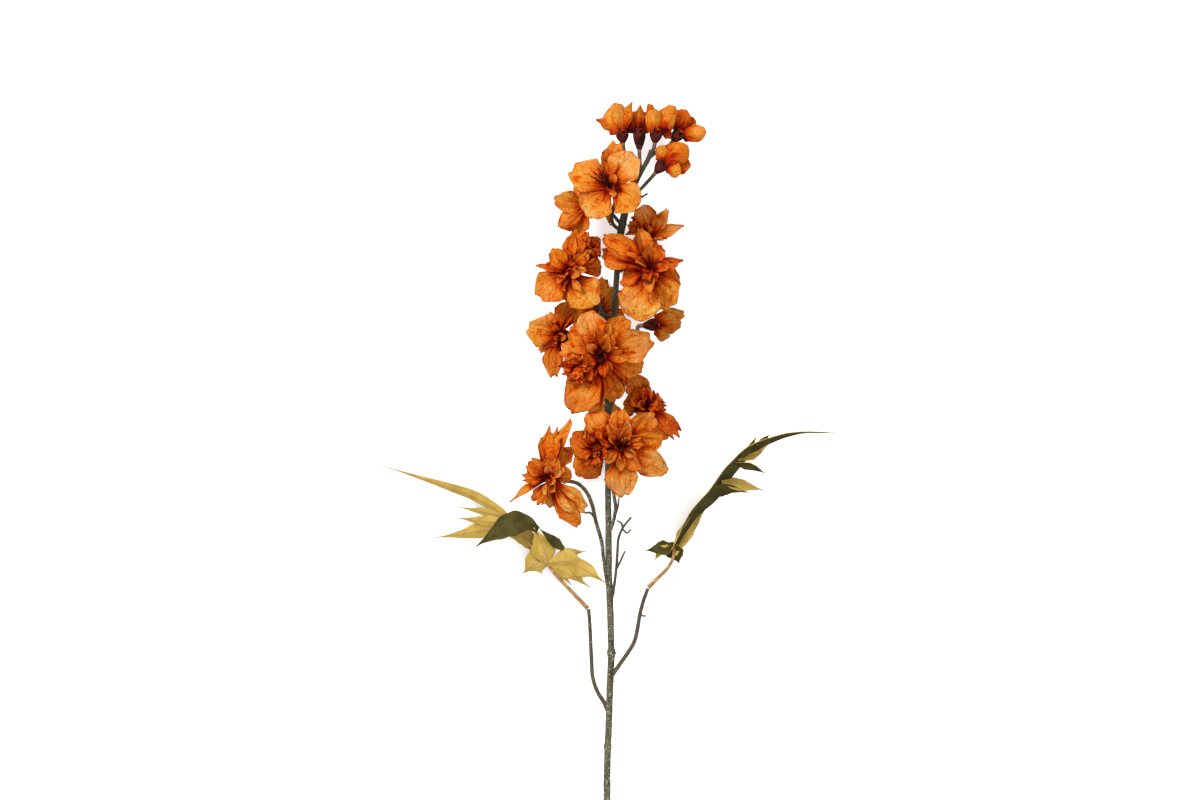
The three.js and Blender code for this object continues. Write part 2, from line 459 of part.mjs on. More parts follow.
// ---- Petals ----
// The knob in the heart of a bloom: more petals need a larger one.
const heartRadius = (bloom) => HEART_RADIUS[0] + HEART_RADIUS[1] * bloom.petals.length;
const heartHeight = (bloom) => HEART_HEIGHT[0] + HEART_HEIGHT[1] * bloom.petals.length;

// Where a petal stands between the lowest of its bloom, 0, and the topmost, 1.
function layerOf(bloom, petal) {
  const axis = axisOf(bloom);
  const steepness = ([x, y, z]) => new THREE.Vector3(x, y, z).normalize().dot(axis);
  const below = bloom.petals.filter((other) => steepness(other) < steepness(petal)).length;
  return below / (bloom.petals.length - 1);
}

function petalSurface(bloom, petal, seed, fences) {
  const [x, y, z, width, formName, turn = 0] = petal;
  const form = FORMS[formName];
  const axis = axisOf(bloom);
  const reachOut = new THREE.Vector3(x, y, z);
  const radial = reachOut.clone().addScaledVector(axis, -axis.dot(reachOut)).normalize();
  const layer = layerOf(bloom, petal);
  const foot = vec(bloom.heart)
    .addScaledVector(radial, FOOT_DEPTH * heartRadius(bloom) * (1 - HEART_TAPER * layer))
    .addScaledVector(axis, FOOT_DEPTH * heartHeight(bloom) * layer);
  const tip = vec(bloom.heart).add(reachOut);
  const length = foot.distanceTo(tip);
  const straight = tip.clone().sub(foot).normalize();
  const leave = straight.clone().addScaledVector(axis, form.rise + layer * LAYER_RISE).normalize();
  const arrive = straight.clone().addScaledVector(axis, -form.curl).normalize();
  const midrib = new THREE.CubicBezierCurve3(
    foot,
    foot.clone().addScaledVector(leave, MIDRIB_PULL * length),
    tip.clone().addScaledVector(arrive, -MIDRIB_PULL * length),
    tip,
  );
  const side = axis.clone().cross(radial).normalize();
  const roll = form.roll * (0.7 + 0.6 * draw(seed)) + THREE.MathUtils.degToRad(turn);
  const phase = 2 * Math.PI * draw(seed + 0.37);
  return (t, u) => {
    const torn = form.ragged * Math.sin(9 * t + phase) * u ** 3;
    const along = u - form.round * u ** 3 * Math.abs(t) ** END_CURVE - torn;
    const spread = form.claw + (1 - form.claw) * smooth(along / form.belly);
    const close = 1 - (1 - form.tip) * smooth((along - form.belly) / (1 - form.belly));
    const half = (width / 2) * spread * close;
    const point = midrib.getPoint(along);
    const tangent = midrib.getTangent(along);
    const normal = tangent.clone().cross(side).normalize();
    const across = side.clone().multiplyScalar(Math.cos(roll)).addScaledVector(normal, Math.sin(roll));
    const lift = normal.clone().multiplyScalar(Math.cos(roll)).addScaledVector(side, -Math.sin(roll));
    const wave = form.ruffle * u * Math.abs(t) ** 1.5 * Math.sin(5.5 * u + phase + 1.7 * t);
    point.addScaledVector(across, (half * Math.sin(form.cup * t)) / form.cup);
    point.addScaledVector(lift, (half * (1 - Math.cos(form.cup * t))) / form.cup + wave);
    return keepClear(point, fences);
  };
}

// A ring of points round a bloom's axis, at a height above its heart; radiusAt gives each point's radius.
function ringAround(bloom, height, sides, radiusAt, liftAt = () => 0) {
  const axis = axisOf(bloom);
  const [first, second] = squareTo(axis);
  return Array.from({ length: sides }, (_, i) => {
    const angle = (2 * Math.PI * i) / sides;
    return vec(bloom.heart)
      .addScaledVector(first, radiusAt(i) * Math.cos(angle))
      .addScaledVector(second, radiusAt(i) * Math.sin(angle))
      .addScaledVector(axis, height + liftAt(i));
  });
}

function petals(bloom, number) {
  const fences = fencesOf(bloom);
  const heart = loft([
    ringAround(bloom, -GAP, HEART_SIDES, () => 0.8 * heartRadius(bloom)),
    ringAround(bloom, 0.4 * heartHeight(bloom), HEART_SIDES, () => heartRadius(bloom)),
    ringAround(bloom, heartHeight(bloom), HEART_SIDES, () => (1 - HEART_TAPER) * heartRadius(bloom)),
  ]);
  const blades = bloom.petals.map((petal, k) => {
    const form = FORMS[petal[4]];
    const surface = petalSurface(bloom, petal, 17 * number + k, fences);
    return sheet(surface, form.rows, form.columns, PETAL_THICKNESS);
  });
  return meshFrom(join([heart, ...blades]), `petals_${bloom.name}`, COLOURS.petal);
}

// A calyx: a solid cone that opens from the pedicel to five pointed teeth under the petals.
function calyx(bloom) {
  const isTooth = (i) => i % 2 === 0;
  const rim = (i) => (isTooth(i) ? CALYX_RIM : CALYX_NOTCH * CALYX_RIM);
  const tooth = (i) => (isTooth(i) ? CALYX_TOOTH : 0);
  const rings = [
    ringAround(bloom, -bloom.calyx, CALYX_SIDES, () => CALYX_FOOT),
    ringAround(bloom, -0.5 * bloom.calyx, CALYX_SIDES, () => CALYX_MIDDLE * CALYX_RIM),
    ringAround(bloom, -CALYX_SHOULDER, CALYX_SIDES, rim, tooth),
    ringAround(bloom, -2 * GAP, CALYX_SIDES, () => CALYX_CROWN * CALYX_RIM),
  ];
  return meshFrom(loft(rings), `calyx_${bloom.name}`, COLOURS.calyx);
}

// Stamens: three-sided filaments with a dark anther at each end, on a small disc in the heart.
function stamens(bloom, number) {
  const axis = axisOf(bloom);
  const [first, second] = squareTo(axis);
  const base = heartHeight(bloom) + GAP;
  const disc = loft([
    ringAround(bloom, base, HEART_SIDES, () => 1.4 * FILAMENT_RING),
    ringAround(bloom, base + 1, HEART_SIDES, () => 1.2 * FILAMENT_RING),
  ]);
  const threads = Array.from({ length: bloom.stamens }, (_, k) => {
    const seed = 31 * number + k;
    const angle = (2 * Math.PI * (k + 0.4 * draw(seed))) / bloom.stamens;
    const open = 0.1 + 0.2 * draw(seed + 0.5);
    const way = axis.clone().add(vec(bloom.lean))
      .addScaledVector(first, open * Math.cos(angle))
      .addScaledVector(second, open * Math.sin(angle))
      .normalize();
    const length = bloom.spread * (0.75 + 0.25 * draw(seed + 0.8));
    const root = vec(bloom.heart).addScaledVector(axis, base + 0.5)
      .addScaledVector(first, FILAMENT_RING * Math.cos(angle))
      .addScaledVector(second, FILAMENT_RING * Math.sin(angle));
    const [a, b] = squareTo(way);
    const ringAt = (distance, radius) => Array.from({ length: THREAD_SIDES }, (_, i) => {
      const turn = (2 * Math.PI * i) / THREAD_SIDES;
      return root.clone().addScaledVector(way, distance)
        .addScaledVector(a, radius * Math.cos(turn))
        .addScaledVector(b, radius * Math.sin(turn));
    });
    return loft([
      ringAt(0, FILAMENT_RADIUS),
      ringAt(length - ANTHER_LENGTH / 2, ANTHER_RADIUS),
      ringAt(length, FILAMENT_RADIUS / 2),
    ]);
  });
  return meshFrom(join([disc, ...threads]), `stamens_${bloom.name}`, COLOURS.stamen);
}

// ---- Stem ----
function pedicel(bloom) {
  const axis = axisOf(bloom);
  const foot = calyxFoot(bloom).addScaledVector(axis, -GAP);
  const bend = foot.clone().addScaledVector(axis, -PEDICEL_STRAIGHT);
  const points = [stemAt(bloom.from).toArray(), ...bloom.via, bend.toArray(), foot.toArray()];
  return rod(taper(points, PEDICEL_RADIUS, PEDICEL_FLARE * PEDICEL_RADIUS), TWIG_SIDES);
}

function mainStem() {
  const shoots = SHOOTS.map(({ points, radii }) => rod(taper(points, ...radii), TWIG_SIDES));
  const solid = join([rod(STEM, STEM_SIDES), ...shoots, ...BLOOMS.map(pedicel)]);
  return meshFrom(solid, "main_stem", COLOURS.stem);
}

// ---- Leaves ----
function lobeSurface({ points, width, tilt, teeth }) {
  const midrib = new THREE.CatmullRomCurve3(points.map(vec));
  const angle = THREE.MathUtils.degToRad(tilt);
  const floor = [{ normal: new THREE.Vector3(0, 0, 1), offset: LEAF_THICKNESS / 2, edge: FLOOR_EDGE }];
  return (t, u) => {
    const point = midrib.getPointAt(u);
    const tangent = midrib.getTangentAt(u);
    const flat = new THREE.Vector3(0, 0, 1).cross(tangent).normalize();
    const face = tangent.clone().cross(flat);
    const across = flat.multiplyScalar(Math.cos(angle)).addScaledVector(face, Math.sin(angle));
    const outline = (0.3 + 0.7 * smooth(u / 0.35)) * (1 - 0.94 * smooth((u - 0.35) / 0.65));
    const saw = 1 + 0.3 * Math.sin(teeth * 2 * Math.PI * u + t) * (teeth > 0 ? 1 : 0);
    point.addScaledVector(across, (t * width * outline * saw) / 2);
    return keepClear(point, floor);
  };
}

function leaf({ name, petiole, lobes }) {
  const stalk = rod(taper(petiole, ...PETIOLE_RADII), TWIG_SIDES);
  const blades = lobes.map((lobe) => sheet(lobeSurface(lobe), lobe.points.length, 2, LEAF_THICKNESS));
  return meshFrom(join([stalk, ...blades]), name, COLOURS.leaf);
}

// ---- Assembly ----
const delphinium = new THREE.Group();
delphinium.add(mainStem(), ...LEAVES.map(leaf));
BLOOMS.forEach((bloom, number) => {
  delphinium.add(petals(bloom, number), calyx(bloom));
  if (bloom.stamens) delphinium.add(stamens(bloom, number));
});
delphinium.position.set(...ORIGIN).negate();

export default delphinium;
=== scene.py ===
# %% [markdown]
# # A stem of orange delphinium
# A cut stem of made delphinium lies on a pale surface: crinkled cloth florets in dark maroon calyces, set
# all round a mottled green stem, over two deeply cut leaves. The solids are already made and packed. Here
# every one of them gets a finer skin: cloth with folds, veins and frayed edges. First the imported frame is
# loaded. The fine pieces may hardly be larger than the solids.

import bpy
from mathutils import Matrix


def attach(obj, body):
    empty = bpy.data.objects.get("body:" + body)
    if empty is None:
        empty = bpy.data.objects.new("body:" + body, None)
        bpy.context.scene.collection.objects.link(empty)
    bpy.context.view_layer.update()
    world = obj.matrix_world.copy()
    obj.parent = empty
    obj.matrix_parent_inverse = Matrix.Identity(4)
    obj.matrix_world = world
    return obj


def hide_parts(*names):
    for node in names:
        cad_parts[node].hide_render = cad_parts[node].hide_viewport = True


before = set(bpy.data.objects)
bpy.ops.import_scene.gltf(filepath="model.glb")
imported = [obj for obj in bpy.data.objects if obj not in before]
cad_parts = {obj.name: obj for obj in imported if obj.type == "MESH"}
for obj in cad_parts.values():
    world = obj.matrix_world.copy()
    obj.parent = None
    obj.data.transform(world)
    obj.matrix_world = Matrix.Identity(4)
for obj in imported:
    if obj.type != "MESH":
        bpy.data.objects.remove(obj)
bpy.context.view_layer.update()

# %% Libraries
import math

import bmesh
import bpy
import numpy as np
from mathutils import Vector

# %% [markdown]
# ## Millimetres and the middle of the footprint
# Stems and petals are small, so the plan of the plant is written in millimetres, measured from the cut end
# of the stem: Y runs along the stem and Z is up. One function turns these into the metres of the frame,
# whose origin lies in the middle of the footprint.

# %% Units
MM = 0.001
MIDDLE = np.array([-0.01, 299.15, 0.0])
UP = np.array([0.0, 0.0, 1.0])


def in_frame(points):
    return (np.asarray(points, float) - MIDDLE) * MM


def unit(v):
    v = np.asarray(v, float)
    return v / np.maximum(np.linalg.norm(v, axis=-1, keepdims=True), 1e-9)


def smooth(x):
    x = np.clip(x, 0, 1)
    return x * x * (3 - 2 * x)


def draw(seed):
    """A number from 0 to 1 that is always the same for the same seed."""
    s = math.sin(seed * 12.9898) * 43758.5453
    return s - math.floor(s)


print("frame origin is", MIDDLE, "mm from the cut end")

# %% [markdown]
# ## The plan of the stem
# The stem is a row of points with the radius at each, so that it bends, tapers and swells at its collars. A
# shoot or a bare twig is its radius at the root and at the end, with its points. The real stem is wire in a
# moulded skin. A curve with a bevel could draw it too, but plain points can be kept the same as those of
# the solids.

# %% Stem and shoots in the plan
STEM = [
    (0, 0, 2.25, 2.42), (0, 60, 7, 2.4), (0, 110, 11, 2.5), (0.4, 143, 13.7, 2.4), (0.5, 146, 14, 2.9),
    (0.7, 149, 14.2, 2.4), (1.8, 180, 16.6, 2.4), (3, 209, 18.8, 2.4), (3.1, 212.5, 19.1, 3.3),
    (3, 216, 19.4, 2.3), (2.4, 239.5, 21.2, 2.4), (1.3, 271, 23.6, 2.3), (1.1, 299, 25.8, 2.2),
    (0.7, 334, 28.4, 2.1), (0.7, 369, 31, 2.1), (0.9, 388, 32.3, 2.8), (2.8, 425, 34, 2.1),
    (5.6, 460, 34.6, 2), (7.7, 488, 34.2, 2.1), (10.5, 512, 33.1, 2.8), (18.9, 539.1, 31.2, 1.9),
    (23.8, 549.6, 30.4, 1.8), (29.4, 560.1, 29.8, 1.7), (31, 565, 29.6, 1.5),
]
SHOOTS = [
    ((1.6, 1.3), [(0.7, 171, 15.9), (-1.9, 177, 15.8), (-6.7, 184.9, 15.4), (-9.8, 194, 15),
        (-10.9, 208, 14.6), (-11.6, 222, 14.4), (-12.3, 236, 14.3), (-13, 242.9, 14.3)]),
    ((1.6, 1.3), [(3.2, 196, 17.8), (8.5, 203.6, 17.6), (14.8, 212.6, 17.4), (19, 219.6, 17.2),
        (21.4, 229, 17), (23.2, 239.5, 16.9), (26, 250, 16.8), (28.8, 257.6, 16.8)]),
    ((1.1, 0.8), [(4.2, 254.2, 24), (6.3, 269.6, 27), (7.4, 285, 30), (8.1, 293.4, 32), (10.9, 300.4, 34),
        (16.8, 308.1, 36)]),
    ((1.4, 1.1), [(2, 246, 22), (4.2, 254.2, 24)]),
    ((0.9, 0.6), [(7, 272.4, 27.6), (9.8, 278, 29), (12.6, 284.3, 30)]),
    ((0.8, 0.6), [(10.9, 300.4, 34), (9.8, 304.2, 35.4), (7, 305.7, 36)]),
    ((0.8, 0.6), [(10.9, 299.7, 33.8), (14, 297.2, 34.6), (16.8, 299.7, 35.6)]),
    ((0.9, 0.6), [(-8.4, 307, 26), (-11.9, 311, 27.4), (-15.4, 310.9, 29)]),
    ((0.9, 0.6), [(5, 307.4, 30), (7.4, 314.4, 32.6), (8.4, 321.4, 34)]),
    ((1, 0.7), [(9.8, 509, 33.2), (4.5, 512.5, 35.4), (1, 517, 36.6)]),
    ((1, 0.7), [(16.1, 530, 31.8), (23.1, 531.4, 34), (28.3, 534.2, 36)]),
    ((0.9, 0.6), [(23.2, 238.8, 16.9), (27.4, 238.1, 17.6)]),
]
print("the stem has", len(STEM), "points and", len(SHOOTS), "shoots")

# %% [markdown]
# ## The plan of the blooms
# A bloom is its heart, the way it faces, the length of its calyx, how far up the stem its pedicel starts and
# the points that the pedicel passes. Then comes a list of petals: the tip, measured from the heart, the
# width, the form and, for some, how far the petal is turned about its midrib, in degrees. An open bloom
# also has stamens: how many, how they lean and how far they reach. A rule could scatter the petals, but the
# eye knows the large ones, so each of those is listed one by one.

# %% Blooms in the plan
BLOOMS = [
    {"name": "01", "heart": (10.5, 577.5, 30), "axis": (-0.1, 1, 0.1), "calyx": 7.5, "starts": 539,
     "via": [(15.4, 551, 31)],
     "petals": [(-4, 20.2, 4, 21, "hood", 46), (-18.2, 8.6, 2, 10, "narrow", 72),
         (7.8, 21, 3, 12, "narrow", -95), (1, 16, -6, 18, "hood")]},
    {"name": "02", "heart": (22.7, 578.6, 24.5), "axis": (0, 1, 0), "calyx": 13, "starts": 545,
     "via": [(23.1, 554.5, 27.5)],
     "petals": [(0.5, 17.9, 3, 10, "narrow", -26), (-3.6, 14, -2, 14, "hood", 95),
         (3.4, 13.5, -2, 14, "hood", -125)]},
    {"name": "03", "heart": (34.6, 577.9, 33.5), "axis": (0.15, 1, 0.1), "calyx": 8, "starts": 560,
     "via": [],
     "petals": [(-5, 19.3, 0, 12, "hood", 88), (12, 17.8, 4, 19, "hood", -98),
         (-1.5, 15.4, 6, 15, "hood", 23), (4, 14, -6, 16, "hood"), (11, -5, -5, 9, "narrow", 60)]},
    {"name": "04", "heart": (51.1, 577.6, 26.5), "axis": (0.6, 0.75, 0.15), "calyx": 8, "starts": 559,
     "via": [(38, 566, 30)],
     "petals": [(4.5, 15.4, 3, 17, "hood", 75), (18, 1.8, 3, 15, "hood", -112), (10, 10.5, -4, 14, "hood"),
         (-3.5, 11, -1, 8, "narrow", 80)]},
    {"name": "05", "heart": (39.9, 555.9, 33), "axis": (0.62, 0.72, 0.1), "calyx": 9, "starts": 531,
     "via": [(24.5, 538.5, 33)],
     "petals": [(15.2, 14, 6, 22, "hood", -50), (11.9, -5.7, 6, 13, "hood", -100),
         (18, 1, -4, 18, "hood", 50), (-1, 13, 4, 11, "hood", 50)]},
    {"name": "06", "heart": (2.8, 537.7, 52), "axis": (-0.3, 0.22, 0.93), "calyx": 9, "starts": 508,
     "stamens": 14, "lean": (-0.35, 0.55, 0), "spread": 13,
     "via": [(4, 513, 38)],
     "petals": [(-27.5, 12.5, -2, 28, "large"), (-16, -20.5, 4, 27, "large", -20),
         (19, -13.5, 8, 26, "large"), (17, 22.5, 4, 27, "large"), (-1.4, 26, 3, 14, "inner"),
         (4, 31.8, -7, 17, "wide"), (2.5, -7, 6, 7, "inner"), (-1, -28, -16, 7, "narrow")]},
    {"name": "07", "heart": (-11.9, 525.8, 31), "axis": (-0.9, -0.1, 0.25), "calyx": 8, "starts": 512,
     "via": [(4, 520, 30)],
     "petals": [(-25, 5, 3, 17, "large", 50), (-22, -18.5, 5, 19, "folded", 70),
         (-10, -18.2, -7, 20, "wide", -50), (-12, 12, -8, 15, "wide", 30)]},
    {"name": "08", "heart": (29.4, 502, 33), "axis": (0.5, 0.7, 0.35), "calyx": 8, "starts": 490,
     "via": [(14, 495.5, 32)],
     "petals": [(-7.5, 24, 4, 18, "wide", 100), (12.8, 21, 6, 13, "folded", -50),
         (24.5, 9.8, 4, 10, "narrow", 45), (13.5, 6, -11, 11, "wide"), (-14, 12, -7, 20, "wide", -30)]},
    {"name": "09", "heart": (28.7, 479.6, 50), "axis": (0.2, 0.5, 0.8), "calyx": 9, "starts": 462,
     "stamens": 5, "lean": (0, 0, 0), "spread": 8,
     "via": [(14, 468, 38)],
     "petals": [(-34, 25.2, 1, 20, "folded", -50), (-36, 11, -3, 20, "wide", -30),
         (4, 20, 6, 21, "folded", -25), (24.5, 7.4, 2, 9, "narrow"), (19, 2.8, 8, 12, "folded"),
         (-10, -34.5, 1, 33, "large"), (14.5, -26, 0, 26, "large"), (22, -9, -4, 15, "wide"),
         (-7, 8, 9, 11, "inner"), (4, -8, 10, 13, "inner"), (-6, 33, 2, 13, "folded", -40),
         (-19, -9, 0, 14, "wide")]},
    {"name": "10", "heart": (-24.5, 478.2, 46), "axis": (-0.5, 0.2, 0.84), "calyx": 9, "starts": 440,
     "via": [(-4.3, 453, 32), (-7, 466, 33)],
     "petals": [(-13.5, 16.8, 5, 14, "wide"), (-25.2, 5.6, 0, 8, "narrow"),
         (-22.6, -17.5, -3, 26, "large", -35), (17.5, -23, 7, 29, "large", -28), (13, 16, 11, 11, "folded"),
         (1, 28, -2, 11, "wide"), (10, 31, -2, 14, "torn"), (-7, -3, 10, 10, "inner"),
         (24, 27, -8, 17, "wide"), (22, 5, -9, 20, "folded"), (-6, -19, -7, 16, "wide", -45)]},
    {"name": "11", "heart": (35.2, 443, 25), "axis": (0.95, 0.08, 0.05), "calyx": 10, "starts": 378,
     "via": [(4.9, 390, 32), (11.2, 399.1, 30), (18.2, 418, 25.5), (22, 434, 24)],
     "petals": [(19, 7.4, 4, 14, "hood", 60), (9, -7.6, 5, 14, "hood", -100), (17, 1, -10, 15, "hood")]},
    {"name": "12", "heart": (-31.5, 434.8, 27), "axis": (-0.75, 0, 0.6), "calyx": 8, "starts": 421,
     "via": [(-7, 429, 25)],
     "petals": [(-24, 6.3, 2, 23, "large"), (12.6, 22, 7, 10, "folded", 30),
         (-6, -28.5, 0, 15, "wide", -50), (6, 25, -2, 15, "wide", 12), (-16, -8, -14, 15, "wide"),
         (-11, 15, -13, 16, "wide")]},
    {"name": "13", "heart": (-4.2, 420.1, 55), "axis": (-0.03, 0.06, 1), "calyx": 10, "starts": 404,
     "stamens": 14, "lean": (0, -0.1, 0), "spread": 9,
     "via": [(-1.5, 413, 38)],
     "petals": [(35.7, 11.2, -6, 26, "large"), (29, -8, -9, 20, "wide"), (18, 28, -4, 19, "wide"),
         (-10, 32, -2, 23, "large"), (-27.5, 6.3, -1, 22, "wide"), (-26, -11, 2, 20, "torn"),
         (-19.5, -40.5, -8, 28, "large"), (-1, -34.5, -4, 17, "folded"), (14, -26, -10, 17, "wide"),
         (-2.5, 19, 8, 12, "inner"), (14.5, 4, 9, 12, "inner"), (7, -12, 10, 11, "inner"),
         (-13, 11, 9, 12, "inner"), (8, 16, 11, 11, "inner"), (-12, -5, 10, 12, "inner")]},
    {"name": "14", "heart": (24.5, 384.4, 28), "axis": (0.6, 0.1, 0.7), "calyx": 8, "starts": 371,
     "via": [(8, 377, 27.5)],
     "petals": [(-8, 23, 3, 18, "wide", -55), (-0.5, 15, 8, 16, "torn", -75),
         (12.5, 5.5, 9, 16, "torn", -85), (25, -19, 0, 14, "torn", 10), (17, -22, -2, 14, "wide", 24),
         (14.5, 4, -14, 16, "wide"), (12, -16, -12, 16, "wide"), (-13, 2, 2, 17, "wide", -30)]},
    {"name": "15", "heart": (8.4, 357.8, 53), "axis": (0.08, -0.04, 1), "calyx": 10, "starts": 296,
     "stamens": 12, "lean": (0.05, 0.15, 0), "spread": 9,
     "via": [(4.6, 305.3, 29), (5.9, 315.1, 32), (4.4, 327, 35), (5, 342, 38.5)],
     "petals": [(-22, 24, -3, 20, "wide"), (0.5, 26, 3, 17, "wide"), (25, 21.5, -4, 21, "wide"),
         (31, 6, -1, 17, "wide"), (33, -18, -3, 21, "large"), (2, -35, -4, 24, "large"),
         (15, -16.5, 6, 14, "folded"), (-24.5, -1, -3, 19, "torn"), (14, 7, 8, 12, "inner"),
         (-14, 7, 8, 12, "torn"), (-4, 13, 9, 11, "inner"), (-6, -11, 10, 12, "inner"),
         (6, 14, 11, 10, "inner")]},
    {"name": "16", "heart": (-38.5, 335.4, 37), "axis": (-0.55, 0.15, 0.8), "calyx": 9, "starts": 250,
     "stamens": 4, "lean": (-0.1, 0.2, 0), "spread": 8,
     "via": [(-2.4, 278, 26), (-3.5, 289.2, 26), (-7.7, 304.6, 26), (-10.9, 317.9, 26), (-14.7, 326, 26.4),
         (-20.5, 331.5, 27)],
     "petals": [(14, 41, 4, 10, "wide"), (1.5, 33.5, 5, 17, "torn"), (-15.5, 12, 6, 14, "torn"),
         (-19.5, 0.5, 4, 14, "torn"), (-29.5, -17, -7, 8, "narrow"), (-9.5, -18, 0, 12, "torn", -30),
         (19, -33, -5, 15, "wide", -25), (23, -22.5, 0, 19, "wide", -15), (13, 21, -6, 17, "wide"),
         (1, -20.5, -8, 15, "wide", -40), (14, 3, 3, 13, "wide"), (4, 14, 10, 15, "inner"),
         (2, -9, 10, 11, "inner")]},
    {"name": "17", "heart": (-6, 451, 15.5), "axis": (-0.15, 0.05, -1), "calyx": 7, "starts": 447,
     "via": [],
     "petals": [(-22, 8, -14, 21, "wide"), (4, 25, -11.5, 16, "wide"), (15, 16, -13, 20, "wide"),
         (18, -11, -14.7, 22, "wide"), (-14, -20, -12.5, 24, "wide")]},
    {"name": "18", "heart": (27, 488, 15.5), "axis": (0.15, 0.1, -1), "calyx": 7, "starts": 479,
     "via": [(17, 484, 27)],
     "petals": [(-18, 8, -14, 19, "wide"), (-2, 22, -12, 19, "wide"), (13, 9, -13.5, 16, "wide"),
         (17, -14, -14.7, 20, "wide"), (-9, -17, -12.5, 20, "wide")]},
    {"name": "19", "heart": (-2, 353, 15.5), "axis": (-0.2, 0, -1), "calyx": 7, "starts": 349,
     "via": [],
     "petals": [(-23, 12, -12.5, 24, "wide"), (-8, 24, -14.7, 21, "wide"), (17, 14, -12.5, 20, "wide"),
         (19, -10, -14.5, 20, "wide"), (-20, -15, -13, 24, "wide")]},
]
print(len(BLOOMS), "blooms,", sum(len(b["petals"]) for b in BLOOMS), "petals in the plan")

# %% [markdown]
# ## The plan of the leaves
# A leaf is a petiole with lobes that fan out from its end, each a row of points along its midrib with a
# width, a tilt (0 is face up, 90 on edge, 180 face down) and a number of teeth. One flat leaf could be cut
# and bent as a whole, but the real ones are curled and folded lobe by lobe, so each lobe has its own
# course.

# %% Leaves in the plan
LEAVES = {
    "leaf_left": {
        "petiole": [(-13.5, 243.5, 14.3), (-18.4, 248.4, 14.8), (-25.2, 255.6, 15.6), (-34.5, 265.5, 17),
            (-41, 273.3, 18), (-50.4, 284.3, 18.2), (-57.4, 292.5, 17.6), (-68.6, 308.8, 16)],
        "lobes": [
            (8, 150, 0, [(-57.4, 293, 17.6), (-76.3, 312.5, 14.5), (-95.9, 323.4, 12), (-116.9, 330.6, 9),
                (-160.3, 344.2, 0.5)]),
            (13, 170, 0, [(-60, 297, 17), (-81.9, 299.6, 9), (-99.4, 296, 4), (-121, 292.8, -1)]),
            (9, 170, 0, [(-64, 304, 16), (-86, 304.6, 10), (-107, 307, 4)]),
            (7, 165, 0, [(-67, 307.5, 16), (-84.7, 311, 11), (-105.4, 314.6, 6)]),
            (18, 185, 0, [(-41, 275, 18), (-46, 288.5, 20.4), (-51.5, 300.5, 22.4)]),
            (19, 25, 0, [(-48.3, 298.6, 21.9), (-56, 303, 22.6), (-66.5, 302.6, 22), (-79, 295.8, 19),
                (-92.5, 286.8, 15)]),
            (8, 20, 0, [(-29, 284.5, 19.2), (-36, 289.6, 21), (-48, 300.5, 22.6)]),
            (15, 188, 2, [(-41, 275.5, 18), (-27.3, 277.2, 19.6), (-14, 270.2, 21.4), (-0.6, 261.6, 27)]),
            (9, 190, 0, [(-37, 277.5, 18.4), (-26, 282.5, 19.4), (-14.5, 283.6, 20)]),
            (6, 180, 0, [(-39, 273, 17.6), (-31.5, 267, 16.8), (-25, 259.6, 15.6)]),
            (12, 174, 0, [(-47, 287, 17.6), (-58, 293.5, 15.4), (-76, 297, 10)]),
            (10, 188, 1, [(-39, 273.5, 17.6), (-23, 266.1, 18), (-11.9, 258.4, 17)]),
            (18, 176, 0, [(-41, 276, 18), (-48.5, 276, 15), (-59, 268, 4)]),
            (7, 175, 0, [(-44, 281, 18), (-50.5, 285, 15), (-58, 286.4, 9)]),
        ],
    },
    "leaf_right": {
        "petiole": [(29, 258.2, 16.8), (35, 264.2, 17), (41.7, 270.9, 17), (46.2, 278, 17), (47.4, 288, 17),
            (58.5, 308.5, 15.6)],
        "lobes": [
            (19, 62, 0, [(46.2, 284, 17), (60, 309, 15.6), (75.6, 326.2, 15), (86.6, 341.6, 14),
                (100.4, 355, 13), (115.5, 362.2, 11), (135.1, 366.9, 7), (160.3, 366.9, 2.5)]),
            (11, 160, 0, [(47.6, 281, 16.8), (55.2, 296.5, 11), (64.4, 309, 8), (74.2, 320, 6)]),
            (10, 30, 0, [(71, 324, 15), (86.1, 327.4, 11), (99.4, 324.9, 6)]),
            (10, 150, 0, [(80.5, 332.4, 14), (96.6, 330, 6), (111.3, 326, -1)]),
            (7, 40, 0, [(90, 345.4, 13.6), (101.5, 343, 11), (112, 338.2, 5)]),
            (9, 150, 0, [(92, 348, 13), (103.6, 352.9, 8), (116.2, 360.3, 4)]),
            (6, 40, 0, [(95, 349, 13.5), (100.5, 356.5, 13.6), (105.6, 365, 12.6)]),
            (6, 40, 0, [(106, 357.5, 12), (110.5, 362, 12), (114.8, 366, 11)]),
            (11, 20, 0, [(47, 287.5, 17), (37.1, 285.6, 19), (26.8, 284.2, 18)]),
            (7, 160, 0, [(43, 288, 17.8), (37.8, 283.6, 17), (33.6, 277.3, 13)]),
            (14, 20, 0, [(44.5, 290, 17), (47.4, 283, 15), (51, 275, 7)]),
        ],
    },
}
print({name: len(plan["lobes"]) for name, plan in LEAVES.items()}, "lobes")

# %% [markdown]
# ## The forms of the petals
# Each form says how wide the petal is at its claw and at its end (as a share of its widest), where its
# belly lies, how round its end is, how far its sides roll up, how steeply it leaves the heart, how far its
# end curls back, how high its waves are, how ragged its edge is, how far it rolls like a pinwheel and how
# strongly its cloth is crinkled. Wide and large petals lie open, narrow and folded ones stand in pleats and
# a hood wraps a bud. Inner ones and small hollow spoons crowd round the heart, and torn ones are frayed
# frills. Each petal could be modelled by hand, but a few forms and one formula keep them all of one kind
# and none quite equal.

